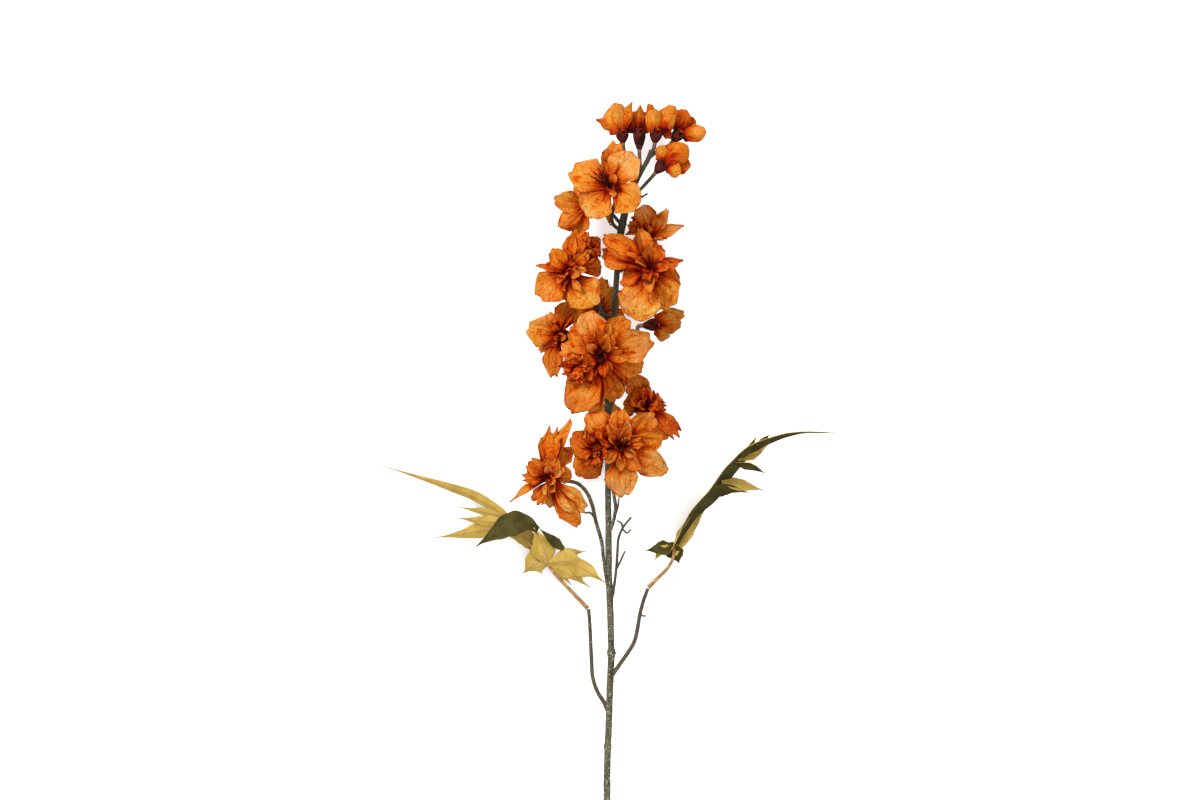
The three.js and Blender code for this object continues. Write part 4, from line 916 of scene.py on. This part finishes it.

# %% [markdown]
# ## What sets one bloom apart
# A double flower has dozens of petals, and they differ from bloom to bloom. These tables hold what the eye
# notices: how many small frilled petals crowd the heart and how large they are, how dark the heart is, how
# much paler its petals are, partly paler dye and partly painted light that lifts blooms lying in shade, a
# few more petals that close gaps, and tight clusters of torn frills on three blooms. Other tables say how
# singed and how pale a petal of each form is.

# %% Values of blooms and forms
FRILLS = {"06": (2, 0.9), "08": (3, 0.9), "09": (7, 1.3), "10": (9, 1.1), "12": (5, 0.9), "13": (10, 1.35),
          "14": (9, 1.0), "15": (10, 1.2), "16": (12, 1.0), "17": (5, 0.9), "18": (4, 0.9), "19": (5, 0.9)}
HEARTS = {"01": 0.8, "02": 0.8, "03": 0.8, "04": 0.8, "05": 0.8, "06": 0.75, "09": 0.4, "11": 0.8, "13": 1.0,
          "15": 0.7, "16": 0.25}
PALE_HEART = 0.2  # the heart of every other bloom
# how much paler each bloom is: partly paler dye, partly painted light on blooms lying in shade
PALER_DYE_AND_PAINTED_LIGHT = {"08": 0.3, "10": 0.1, "11": 0.15, "12": 0.05, "14": 0.1, "15": 0.15, "16": 0.3}
MORE = {
    "08": [(-17, 4, 1, 19, "wide"), (-12, 16, -1, 17, "wide")],
    "12": [(8, 17, 5, 11, "spoon")],
    "13": [(-21, 20, -6, 18, "wide"), (12, -33, -12, 16, "wide")],
    "18": [(-31, 5, -13, 19, "wide")],
    "19": [(9, 37, -12.5, 20, "wide"), (-5, 37, -12.5, 19, "wide")],
}
CLUSTERS = {  # where it sits from the heart, the way it faces, how many frills and how large
    "10": [((13, 15, 0), (0.5, 0.5, 0.7), 7, 0.8)],
    "13": [((-15, -8, 3), (-0.4, -0.2, 0.9), 9, 0.75)],
    "15": [((-15, -1, 3), (-0.6, 0, 0.8), 10, 0.85)],
}
SINGED = {"wide": 0.25, "large": 0.12, "narrow": 0.4, "folded": 0.3, "inner": 0.1, "torn": 0.8, "hood": 0.3,
          "spoon": 0.1}
SHADES = {"wide": (0.15, 0.8), "large": (0.45, 1.0), "narrow": (0.3, 0.8), "folded": (0.2, 0.8),
          "inner": (0.3, 0.8), "torn": (0.0, 0.4), "hood": (0.1, 0.8), "spoon": (0.4, 0.9)}
print(sum(count for count, _ in FRILLS.values()), "frills,", sum(map(len, MORE.values())), "more petals")

# %% [markdown]
# ## Blooms
# Each bloom's petals become one piece in place of its solid: those of the plan first, then the frills, each
# a golden angle further round and steeper toward the middle, as leaves follow each other round a shoot. A
# little core fills the heart. A particle system could scatter the frills, but the export drops particles,
# and a rule with seeded draws gives the same bloom each time. Every seed grows from the bloom's number.

# %% Frills and core
GOLDEN = math.radians(137.5)
TORN_SHARE = (0.6, 0.15)  # of the frills in a pale heart and in a dark one
FRILL_LEAN = (36, 36, 10)  # degrees off the axis: at the middle, added at the rim, added by a draw
FRILL_LENGTH = (11, 5, 3)  # mm, likewise
FRILL_WIDTH = (7, 3)  # mm, and added by a draw
CORE_STEPS = [(-0.2, 0.8), (0.15, 0.95), (0.4, 1), (0.7, 0.92), (0.92, 0.72), (1, 0.4)]
# the core's alpha gives it half the painted crease shade
CORE_TONE = (0.1, 0.3, 0.8, 0.5)


def frills(axis, count, size, torn, first_seed):
    """Small petals round an axis, each a tip, a width and a form like those of the plan."""
    first, second = square_to(axis)
    rows = []
    for k in range(count):
        seed = first_seed + k
        turn = GOLDEN * k + draw(seed)
        share = (k + 0.5) / count
        lean = math.radians(FRILL_LEAN[0] + FRILL_LEAN[1] * share + FRILL_LEAN[2] * draw(seed + 0.1))
        length = size * (FRILL_LENGTH[0] + FRILL_LENGTH[1] * share + FRILL_LENGTH[2] * draw(seed + 0.2))
        out = first * math.cos(turn) + second * math.sin(turn)
        tip = (axis * math.cos(lean) + out * math.sin(lean)) * length
        form = "torn" if draw(seed + 0.3) < torn else "spoon"
        rows.append((*tip, FRILL_WIDTH[0] + FRILL_WIDTH[1] * draw(seed + 0.4), form))
    return rows


def add_core(parts, bloom, fences):
    radius, height = heart_size(bloom)
    rings = [ring_round(bloom, height * rise, radius * share) for rise, share in CORE_STEPS]
    add_rings(parts, keep_clear(np.array(rings), fences), CORE_TONE)


print("tip of a first frill:", np.round(frills(UP, 9, 1.0, 0.5, 1)[0][:3], 1), "mm from the heart")

# %% Build the petals
CLOTH = 0.4  # mm
LARGE_PETAL = 14  # mm wide; above this a petal gets the finer grid
LARGE_GRID, SMALL_GRID = (32, 26), (22, 18)  # rows and columns
MM_PER_CM = 10
CLOTH_SHIFT = 10  # cm; each petal is cut from another part of the print
SEEDS = {  # the first seed of a kind of petal, and how far on the next bloom's lies
    "planned": (0, 17), "frill": (500, 41), "small": (900, 37), "cluster": (700, 29), "scrap": (1300, 31),
}


def seed_of(kind, number):
    first, step = SEEDS[kind]
    return first + step * number


def add_petal(parts, bloom, name, petal, seed, fences):
    size = LARGE_GRID if petal[3] > LARGE_PETAL else SMALL_GRID
    grid, t, u, crease_shade = petal_grid(bloom, petal, seed, fences, *size)
    length = np.linalg.norm(petal[:3])
    across_and_along = np.stack([t / 2 + 0.5, u], -1)
    centimetres = np.stack([t * petal[3] / (2 * MM_PER_CM), u * length / MM_PER_CM], -1)
    centimetres = centimetres + CLOTH_SHIFT * draw(seed + 0.7)
    # the petal's paleness, with paler dye and painted light for some blooms
    shade = np.interp(draw(seed + 0.9), (0, 1), SHADES[petal[4]]) + PALER_DYE_AND_PAINTED_LIGHT.get(name, 0)
    same = [np.full_like(u, value) for value in (shade, SINGED[petal[4]], HEARTS.get(name, PALE_HEART))]
    tone = np.stack([*same, crease_shade], -1).reshape(-1, 4)
    add_shell(parts, grid, across_and_along, centimetres, np.concatenate([tone] * 2), CLOTH)


def petal_piece(bloom, number):
    name, fences, parts = bloom["name"], fences_of(bloom), new_parts()
    for k, petal in enumerate(bloom["petals"]):
        add_petal(parts, bloom, name, petal, seed_of("planned", number) + k, fences)
    count, size = FRILLS.get(name, (0, 1))
    torn = TORN_SHARE[name in HEARTS]
    small = MORE.get(name, []) + frills(axis_of(bloom), count, size, torn, seed_of("frill", number))
    for k, petal in enumerate(small, start=len(bloom["petals"])):
        add_petal(parts, bloom, name, petal, seed_of("small", number) + k, fences)
    for offset, axis, count, size in CLUSTERS.get(name, []):
        cluster = {"heart": heart_of(bloom) + offset, "axis": axis}
        cluster["petals"] = frills(unit(axis), count, size, 1.0, seed_of("cluster", number))
        for k, petal in enumerate(cluster["petals"]):
            add_petal(parts, cluster, "", petal, seed_of("scrap", number) + k, fences)
    add_core(parts, bloom, fences)
    return finish_piece("bloom_" + name, parts, [PETAL], "petals_" + name)


for number, bloom in enumerate(BLOOMS):
    piece = petal_piece(bloom, number)
    print(piece.name, len(piece.data.polygons), "faces")

# %% [markdown]
# ## Calyces
# Under each bloom sits a dark maroon calyx: a ribbed cone that opens into five pointed teeth. On a bud the
# teeth stand tall and hug the petals, on an open bloom they are short. It is a stack of rings whose radius
# and height change round the axis, once up the outside and back down inside the teeth. A lathed cone with
# teeth cut out of it would look the same, but stacked rings need no cutting. Its skin is maroon, mottled
# dark, with a little pale dust, and bumped by fine ribs.

# %% Calyx material
CALYX_DARK, CALYX_MID, CALYX_DUST = "#200704", "#581c12", "#84422e"


def calyx_skin():
    made, tree, shader = new_material("calyx skin", 0.7, shine=0.08)
    across = petal_map(tree)[0]
    place = place_in(tree)
    patches = mottled(tree, place, 260.0, 0.35, 0.65)
    colour = mixed(tree, patches, paint(CALYX_DARK), paint(CALYX_MID))
    dust = mottled(tree, place, 900.0, 0.58, 0.72)
    colour = mixed(tree, maths(tree, "MULTIPLY", dust, 0.5), colour, paint(CALYX_DUST))
    tree.links.new(colour, shader.inputs["Base Color"])
    ribs = maths(tree, "PINGPONG", maths(tree, "MULTIPLY", across, 15), 0.5)
    add_bump(tree, shader, maths(tree, "ADD", ribs, maths(tree, "MULTIPLY", patches, 0.4)), 0.0006)
    return made


print("calyx colours", CALYX_DARK, CALYX_MID, CALYX_DUST)

# %% Build the calyces
TEETH = 5
CALYX_PROFILE = [(0, 1.7), (0.06, 1.95), (0.2, 2.5), (0.4, 3.3), (0.6, 3.95), (0.8, 4.35)]
CALYX_MOUTH = 4.5  # mm in radius
CALYX_EDGE = -1.6  # mm from the heart, where the teeth begin
CALYX_FLOOR = [(-1.8, 3.7), (-1.3, 1.9)]  # back inside, under the petals
TOOTH_STEPS = (0, 0.35, 0.7, 1)
BUDS = {"01": 5.5, "02": 6.0, "03": 5.0, "04": 4.5, "05": 5.0, "11": 5.0, "08": 2.5, "07": 3.0}  # teeth in mm
OPEN_TOOTH = 1.6
TOOTH_CURVE = 1.4  # above 1 the tips are sharper
TOOTH_CLOTH = 0.2  # mm thick at the tip
RIBS = (0.05, 3)  # how far they stand out, as a share of the radius, and how many to a tooth
BUD_TEETH, OPEN_TEETH = (0.12, 0.85), (-0.1, 1.02)  # how far they lean in, and the radius inside them


def calyx_piece(bloom, material):
    turn = np.arange(RING_SIDES) / RING_SIDES * TEETH
    tooth = 1 - 2 * np.abs(turn - np.round(turn))
    rib = 1 + RIBS[0] * np.cos(turn * 2 * math.pi * RIBS[1])
    tall = BUDS.get(bloom["name"], OPEN_TOOTH)
    lean, rim = BUD_TEETH if bloom["name"] in BUDS else OPEN_TEETH
    length = bloom["calyx"]
    rings = [ring_round(bloom, -length + share * (length + CALYX_EDGE), radius * rib)
             for share, radius in CALYX_PROFILE]
    for share in TOOTH_STEPS:
        height = CALYX_EDGE + tall * share * tooth**TOOTH_CURVE
        rings.append(ring_round(bloom, height, CALYX_MOUTH * (1 - lean * share)))
    rings.append(ring_round(bloom, CALYX_EDGE + tall * tooth**TOOTH_CURVE - TOOTH_CLOTH, CALYX_MOUTH * rim))
    rings += [ring_round(bloom, height, radius) for height, radius in CALYX_FLOOR]
    parts = new_parts()
    add_rings(parts, keep_clear(np.array(rings), [FLOOR_FENCE]), (0.5, 0.5, 0.5, 1))
    return finish_piece("cup_" + bloom["name"], parts, [material], "calyx_" + bloom["name"])


skin = calyx_skin()
cups = [calyx_piece(bloom, skin) for bloom in BLOOMS]
print(len(cups), "calyces")

# %% [markdown]
# ## Tubes
# Stem, twigs and filaments are round rods along a smooth line. The line is a cubic through the plan's
# points, and its rings keep their turn from one to the next, so that the tube never twists. Curve objects
# with a bevel are quicker to draw, but these tubes can wander a little in radius, as moulded stems do.

# %% Smooth lines and tubes
def smooth_line(points, steps):
    """A cubic through points (x, y, z or x, y, z, radius), with a number of steps to each stretch."""
    points = np.asarray(points, float)
    gaps = np.maximum(np.linalg.norm(np.diff(points[:, :3], axis=0), axis=1), 1e-6)[:, None]
    slopes = np.diff(points, axis=0) / gaps
    inner = (slopes[:-1] * gaps[1:] + slopes[1:] * gaps[:-1]) / (gaps[:-1] + gaps[1:])
    tangents = np.vstack([slopes[:1], inner, slopes[-1:]])
    line = []
    for k in range(len(points) - 1):
        s = np.linspace(0, 1, steps + 1)[(k > 0):, None]
        a, b, gap = points[k], points[k + 1], gaps[k]
        curve = (a * (2 * s**3 - 3 * s**2 + 1) + b * (3 * s**2 - 2 * s**3)
                 + tangents[k] * gap * (s**3 - 2 * s**2 + s) + tangents[k + 1] * gap * (s**3 - s**2))
        if points.shape[1] == 4:
            curve[:, 3] = (a[3] + (b[3] - a[3]) * s[:, 0])
        line.append(curve)
    return np.concatenate(line)


def tube_rings(line, sides, bumps=0.0, seed=1):
    """Rings round a line of x, y, z, radius; bumps is how far they wander, as a share of the radius."""
    tangent = unit(np.gradient(line[:, :3], axis=0))
    across = square_to(tangent[0])[0]
    angle = 2 * math.pi * (np.arange(sides) + 0.5) / sides
    wander = np.random.default_rng(seed).normal(0, bumps, (len(line), sides))
    wander = (wander + np.roll(wander, 1, 1) + np.roll(wander, -1, 1)) / 2
    rings = []
    for k, (centre, way) in enumerate(zip(line, tangent)):
        across = unit(across - way * (way @ across))
        up = np.cross(way, across)
        radius = centre[3] * (1 + wander[k])[:, None]
        rings.append(centre[:3] + radius * (np.outer(np.cos(angle), across) + np.outer(np.sin(angle), up)))
    return np.array(rings)


def tapered(points, root, end):
    share = np.linspace(0, 1, len(points))
    return [(*point[:3], root + (end - root) * s) for point, s in zip(points, share)]


print("tubes ready")

# %% [markdown]
# ## Stamens
# In an open bloom a tuft of dark filaments stands out of the heart, each with a small anther at its end.
# They are thin tubes bent by a seeded draw, with a little spindle on top. Hair strands would be quicker,
# but they are lost in the export. Filament and anther share one near-black red, a little lighter toward the
# tips.

# %% Stamen material
STAMEN_DARK, STAMEN_TIP = "#1c0603", "#4a180c"


def stamen_skin():
    made, tree, shader = new_material("stamen", 0.7, shine=0.06)
    along = petal_map(tree)[1]
    patches = mottled(tree, place_in(tree), 700.0, 0.4, 0.65)
    share = maths(tree, "MULTIPLY", maths(tree, "ADD", patches, along), 0.5)
    tree.links.new(mixed(tree, share, paint(STAMEN_DARK), paint(STAMEN_TIP)), shader.inputs["Base Color"])
    add_bump(tree, shader, patches, 0.0003)
    return made


print("stamen colours", STAMEN_DARK, STAMEN_TIP)

# %% Build the stamens
THREAD_RADII = (0.34, 0.3, 0.26)
THREAD_LEAN = (0.15, 0.5)  # away from the axis, and added by a draw
THREAD_LENGTH = (0.85, 0.4)  # times the bloom's spread, likewise
THREAD_ROOT = (0.4, 0.9)  # mm from the axis, likewise
THREAD_BASE = 0.3  # mm above the core
THREAD_DEPTH = 0.4  # mm that a root reaches below the base
THREAD_BEND = 0.45  # where a filament bends, as a share of its length
ANTHER = [(0, 0.26), (0.25, 0.4), (0.5, 0.5), (0.8, 0.4), (1, 0.14)]
ANTHER_LENGTH = 2.3
ANTHER_START = -1.0  # mm before the end of its filament
THREAD_TONE, ANTHER_TONE = (0, 0, 0, 1), (1, 0, 0, 1)


def stamen_piece(bloom, number, material):
    axis, heart, total = axis_of(bloom), heart_of(bloom), bloom["stamens"]
    first, second = square_to(axis)
    base = heart_size(bloom)[1] + THREAD_BASE
    parts = new_parts()
    for k in range(total):
        seed = 310 * number + k
        turn = 2 * math.pi * (k + 0.4 * draw(seed)) / total
        out = first * math.cos(turn) + second * math.sin(turn)
        lean = THREAD_LEAN[0] + THREAD_LEAN[1] * draw(seed + 0.5)
        way = unit(axis + np.array(bloom["lean"]) + out * lean)
        length = bloom["spread"] * (THREAD_LENGTH[0] + THREAD_LENGTH[1] * draw(seed + 0.8))
        aside = THREAD_ROOT[0] + THREAD_ROOT[1] * draw(seed + 0.2)
        root = heart + axis * (base - THREAD_DEPTH) + out * aside
        bend = root + unit(axis + way) * length * THREAD_BEND
        tip = root + way * length
        bones = [(*point, radius) for point, radius in zip((root, bend, tip), THREAD_RADII)]
        add_rings(parts, tube_rings(smooth_line(bones, 4), 7), THREAD_TONE)
        spindle = [(*(tip + way * (ANTHER_LENGTH * share + ANTHER_START)), size) for share, size in ANTHER]
        add_rings(parts, tube_rings(np.array(spindle), 8), ANTHER_TONE)
    return finish_piece("threads_" + bloom["name"], parts, [material], "stamens_" + bloom["name"])


tufts = stamen_skin()
threads = [stamen_piece(bloom, k, tufts) for k, bloom in enumerate(BLOOMS) if "stamens" in bloom]
print(len(threads), "tufts of stamens")

# %% [markdown]
# ## The stem
# The stem was moulded with its shoots and pedicels in one, so it is one piece: a tube for each, pushed into
# each other. Its olive green is mottled with pale specks and dark scars, it darkens toward the tip, the
# shoots are browner, like bark, and the pedicels turn tan just under the calyces. The tone attribute holds
# the tan in red, the height in green and the bark in blue. Bark could be carved, but at this size its
# specks are mostly colour.

# %% Stem material
STEM_GREEN, STEM_PALE, STEM_DARK, STEM_TAN, STEM_BARK = "#5f5c42", "#c2bda8", "#2c2819", "#9a6c4c", "#4c3c2c"


def stem_skin():
    made, tree, shader = new_material("stem skin", 0.62)
    place = place_in(tree)
    tan, height, bark, _ = tone_of(tree)
    long_place = add(tree, "VectorMath", {0: place, 1: (1, 0.35, 1)}, operation="MULTIPLY").outputs[0]
    clouds = mottled(tree, long_place, 160.0, 0.35, 0.65)
    specks = mottled(tree, place, 800.0, 0.52, 0.66)
    scars = mottled(tree, long_place, 420.0, 0.56, 0.64)
    pale = maths(tree, "MULTIPLY", specks, spread_to(tree, height, 0.35, 0.75, 0.9, 0.4))
    colour = mixed(tree, maths(tree, "MULTIPLY", clouds, 0.55), paint(STEM_GREEN), paint(STEM_DARK))
    for share, code in [
        (pale, STEM_PALE),
        (maths(tree, "MULTIPLY", scars, 0.8), STEM_DARK),
        (spread_to(tree, height, 0.5, 0.9, 0, 0.6), STEM_DARK),
        (maths(tree, "MULTIPLY", bark, 0.6), STEM_BARK),
        (maths(tree, "MULTIPLY", tan, 0.8), STEM_TAN),
    ]:
        colour = mixed(tree, share, colour, paint(code))
    tree.links.new(colour, shader.inputs["Base Color"])
    add_bump(tree, shader, maths(tree, "ADD", maths(tree, "MULTIPLY", specks, 0.5), clouds), 0.001)
    return made


print("stem colours", STEM_GREEN, STEM_PALE, STEM_DARK, STEM_TAN, STEM_BARK)

# %% Build the stem
STEM_LENGTH = STEM[-1][1]
STEM_FENCE = (UP, 0.01, 0.05)
STEM_ROD, SHOOT_ROD = (28, 7), (14, 6)  # sides, and steps to each stretch
ROD_BUMPS = 0.03
PEDICEL = (1.2, 1.5)  # mm in radius, at the stem and at the calyx
PEDICEL_GAP = 0.1  # mm under the calyx
PEDICEL_NECK = 3  # mm that it runs along the bloom's axis


def add_rod(parts, points, sides, steps, seed, tan=0.0, bark=0.0):
    line = smooth_line(points, steps)
    height = np.repeat(line[:, 1] / STEM_LENGTH, sides)
    share = np.repeat(np.linspace(0, 1, len(line)) ** 3 * tan, sides)
    tone = np.stack([share, height, np.full_like(share, bark), np.ones_like(share)], -1)
    rings = tube_rings(line, sides, bumps=ROD_BUMPS, seed=seed)
    add_rings(parts, keep_clear(rings, [STEM_FENCE]), tone)


def stem_piece():
    parts = new_parts()
    add_rod(parts, STEM, *STEM_ROD, seed=1)
    for k, (radii, points) in enumerate(SHOOTS):
        add_rod(parts, tapered(points, *radii), *SHOOT_ROD, seed=20 + k, bark=1.0)
    for k, bloom in enumerate(BLOOMS):
        foot = calyx_foot(bloom) - axis_of(bloom) * PEDICEL_GAP
        bend = foot - axis_of(bloom) * PEDICEL_NECK
        points = [stem_at(bloom["starts"]), *bloom["via"], bend, foot]
        add_rod(parts, tapered(points, *PEDICEL), *SHOOT_ROD, seed=60 + k, tan=1.0)
    return finish_piece("stem", parts, [stem_skin()], "main_stem")


stem = stem_piece()
print("stem", len(stem.data.polygons), "faces")

# %% [markdown]
# ## The leaves
# Two palmate leaves of coated cloth, dark green above and ochre below, with tan veins. Seen from above the
# left one shows its underside, with one lobe folded over, and the right one stands on edge. Each lobe is a
# sheet along its own midrib, with a different material on each face. The faces differ only in their colours
# and in how strongly the ribs show, so one function makes both. The petiole is a tan tube.

# %% Leaf materials
LEAF_GREEN, LEAF_DEEP = "#564f26", "#3a3518"
LEAF_OCHRE, LEAF_STRAW, LEAF_RIB = "#b5933e", "#cdac56", "#be9066"
PETIOLE_DARK, PETIOLE_PALE = "#946a3c", "#bc925e"


def leaf_face(name, low, high, rib, rib_share):
    made, tree, shader = new_material(name, 0.75, shine=0.05)
    across, along = petal_map(tree)
    cloth = cloth_map(tree)
    patches = mottled(tree, cloth, 0.9, 0.3, 0.7)
    slant = maths(tree, "ABSOLUTE", maths(tree, "SUBTRACT", across, 0.5))
    herring = maths(tree, "SUBTRACT", maths(tree, "MULTIPLY", along, 0.9), slant)
    veins = veined(tree, herring, cloth, 12.0, 0.5, 0.07)
    net = use(tree, NET, {"Cloth": cloth, "Scale": 3.0, "Thin": 0.04})["Mask"]
    midrib = spread_to(tree, slant, 0.015, 0.05, 1, 0)
    lines = maths(tree, "MAXIMUM", midrib, maths(tree, "MULTIPLY", veins, 0.7))
    colour = mixed(tree, patches, paint(low), paint(high))
    colour = mixed(tree, maths(tree, "MULTIPLY", lines, rib_share), colour, paint(rib))
    colour = mixed(tree, maths(tree, "MULTIPLY", net, 0.15), colour, paint(low))
    tree.links.new(colour, shader.inputs["Base Color"])
    weave = use(tree, WEAVE, {"Cloth": cloth, "Scale": 16.0})["Height"]
    height = maths(tree, "ADD", maths(tree, "MULTIPLY", weave, 0.08), maths(tree, "MULTIPLY", lines, 0.4))
    add_bump(tree, shader, height, 0.0008)
    return made


def petiole_skin():
    made, tree, shader = new_material("petiole skin", 0.6)
    patches = mottled(tree, place_in(tree), 300.0, 0.35, 0.65)
    colour = mixed(tree, patches, paint(PETIOLE_DARK), paint(PETIOLE_PALE))
    tree.links.new(colour, shader.inputs["Base Color"])
    add_bump(tree, shader, patches, 0.0004)
    return made


leaf_materials = [
    leaf_face("leaf upper side", LEAF_DEEP, LEAF_GREEN, LEAF_GREEN, 0.5),
    leaf_face("leaf underside", LEAF_OCHRE, LEAF_STRAW, LEAF_RIB, 0.7),
    petiole_skin(),
]
print([material.name for material in leaf_materials])

# %% Build the leaves
LEAF_CLOTH = 0.5  # mm
LOBE_BELLY = 0.35  # where a lobe is widest
LOBE_CLAW, LOBE_TIP = 0.3, 0.04  # its width at both ends, as a share of its widest
LOBE_TEETH = 0.3  # how far they stand out, as a share of the width
LOBE_WAVES = (0.04, 31)  # height, likewise, and how many along a side
LOBE_FOLD = 0.12  # how far the sides rise, as a share of the width
LOBE_CREASES = 0.25  # mm
LOBE_SHIFT = 3  # cm; each lobe is cut from another part of the print
PETIOLE = (1.7, 0.7)  # mm in radius, at the stem and at the blade
PETIOLE_ROD = (14, 5)  # sides, and steps to each stretch
PETIOLE_BUMPS = 0.02


def lobe_grid(width, tilt, teeth, points, rows=44, columns=14):
    """The middle of a lobe's cloth: points, t (-1 to 1), u (0 to 1) and the lobe's length."""
    line = smooth_line(points, 24)
    far = np.concatenate([[0], np.cumsum(np.linalg.norm(np.diff(line, axis=0), axis=1))])
    u, t = np.meshgrid(np.linspace(0, 1, rows + 1), np.linspace(-1, 1, columns + 1), indexing="ij")
    share = np.linspace(0, 1, rows + 1) * far[-1]
    rib = np.stack([np.interp(share, far, line[:, k]) for k in range(3)], -1)
    tangent = unit(np.gradient(rib, axis=0))
    flat = unit(np.cross(UP, tangent))
    angle = math.radians(tilt)
    across = flat * math.cos(angle) + np.cross(tangent, flat) * math.sin(angle)
    normal = np.cross(tangent, across)
    widen = LOBE_CLAW + (1 - LOBE_CLAW) * smooth(u / LOBE_BELLY)
    outline = widen * (1 - (1 - LOBE_TIP) * smooth((u - LOBE_BELLY) / (1 - LOBE_BELLY)))
    high, many = LOBE_WAVES
    toothed = LOBE_TEETH * np.sin(teeth * 2 * math.pi * u + t) if teeth else 0
    saw = 1 + toothed + high * np.sin(many * u + 2 * t)
    out = t * width * outline * saw / 2
    crush = creases(t * width / 2, share[:, None] + 0 * t, width)
    fold = LOBE_FOLD * width * (np.abs(t) - 0.5) * outline + LOBE_CREASES * crush
    grid = rib[:, None] + across[:, None] * out[..., None] + normal[:, None] * fold[..., None]
    return keep_clear(grid, [FLOOR_FENCE]), t, u, far[-1]


def leaf_piece(name, plan):
    parts = new_parts()
    for k, (width, tilt, teeth, points) in enumerate(plan["lobes"]):
        grid, t, u, length = lobe_grid(width, tilt, teeth, points)
        across_and_along = np.stack([t / 2 + 0.5, u], -1)
        centimetres = np.stack([t * width / (2 * MM_PER_CM), u * length / MM_PER_CM], -1) + LOBE_SHIFT * k
        add_shell(parts, grid, across_and_along, centimetres, (draw(k), 0, 0, 1), LEAF_CLOTH, slots=(1, 0))
    sides, steps = PETIOLE_ROD
    stalk = smooth_line(tapered(plan["petiole"], *PETIOLE), steps)
    add_rings(parts, tube_rings(stalk, sides, bumps=PETIOLE_BUMPS, seed=5), (0, 0, 0, 1), slot=2)
    return finish_piece("blade_" + name, parts, leaf_materials, name)


for name, plan in LEAVES.items():
    print(name, len(leaf_piece(name, plan).data.polygons), "faces")

# %% [markdown]
# ## Surface, light and camera
# A plain pale surface, one soft light from the upper left, a wide fill overhead and a bright even sky keep
# the folds soft. The surface is wide enough to fill a low view, and it glows faintly, so that it shows as
# white without a lamp so strong that it would bleach the petals. The camera hangs straight above the lying
# stem, far away with a long lens, so that nothing is foreshortened.

# %% Surface
FLOOR_SIZE = 14.0  # metres
FLOOR_GREYS = ((0.78, 0.78, 0.78, 1), (0.8, 0.8, 0.8, 1))
FLOOR_GLOW = 0.4
WHITE = (1, 1, 1, 1)


def floor_skin():
    made, tree, shader = new_material("pale surface", 0.9)
    cloud = mottled(tree, place_in(tree), 40.0, 0.2, 0.8)
    tree.links.new(mixed(tree, cloud, *FLOOR_GREYS), shader.inputs["Base Color"])
    shader.inputs["Emission Color"].default_value = WHITE
    shader.inputs["Emission Strength"].default_value = FLOOR_GLOW
    return made


mesh = bpy.data.meshes.new("surface")
form = bmesh.new()
bmesh.ops.create_grid(form, x_segments=1, y_segments=1, size=FLOOR_SIZE / 2)
form.to_mesh(mesh)
form.free()
mesh.materials.append(floor_skin())
floor = bpy.data.objects.new("surface", mesh)
bpy.context.scene.collection.objects.link(floor)
print("surface", FLOOR_SIZE, "m wide")

# %% Light
LIGHTS = [
    ("key", (-1.2, 1.3, 1.7), 0.6, 72),
    ("fill", (0.7, -0.2, 2.4), 2.4, 42),
]
AIM = Vector((0, 0.1, 0))
SKY = 0.7
for name, place, size, power in LIGHTS:
    data = bpy.data.lights.new(name, "AREA")
    data.size, data.energy = size, power
    lamp = bpy.data.objects.new(name, data)
    lamp.location = place
    lamp.rotation_euler = (AIM - lamp.location).to_track_quat("-Z", "Y").to_euler()
    bpy.context.scene.collection.objects.link(lamp)

world = bpy.data.worlds.new("sky")
world.use_nodes = True
world.node_tree.nodes["Background"].inputs["Color"].default_value = WHITE
world.node_tree.nodes["Background"].inputs["Strength"].default_value = SKY
bpy.context.scene.world = world
bpy.context.scene.view_settings.view_transform = "Standard"
print("lights", [entry[0] for entry in LIGHTS])

# %% Camera
VIEW_WIDTH = 0.84  # metres across the picture, at the blooms' height
VIEW_CENTRE = (-0.00489, 0.09085)
BLOOM_HEIGHT = 0.03
CAMERA_HEIGHT = 3.2  # above the blooms
camera_data = bpy.data.cameras.new("camera")
camera_data.lens = camera_data.sensor_width * CAMERA_HEIGHT / VIEW_WIDTH
camera = bpy.data.objects.new("camera", camera_data)
camera.location = (*VIEW_CENTRE, CAMERA_HEIGHT + BLOOM_HEIGHT)
bpy.context.scene.collection.objects.link(camera)
bpy.context.scene.camera = camera
print("lens", round(camera_data.lens, 1), "mm")
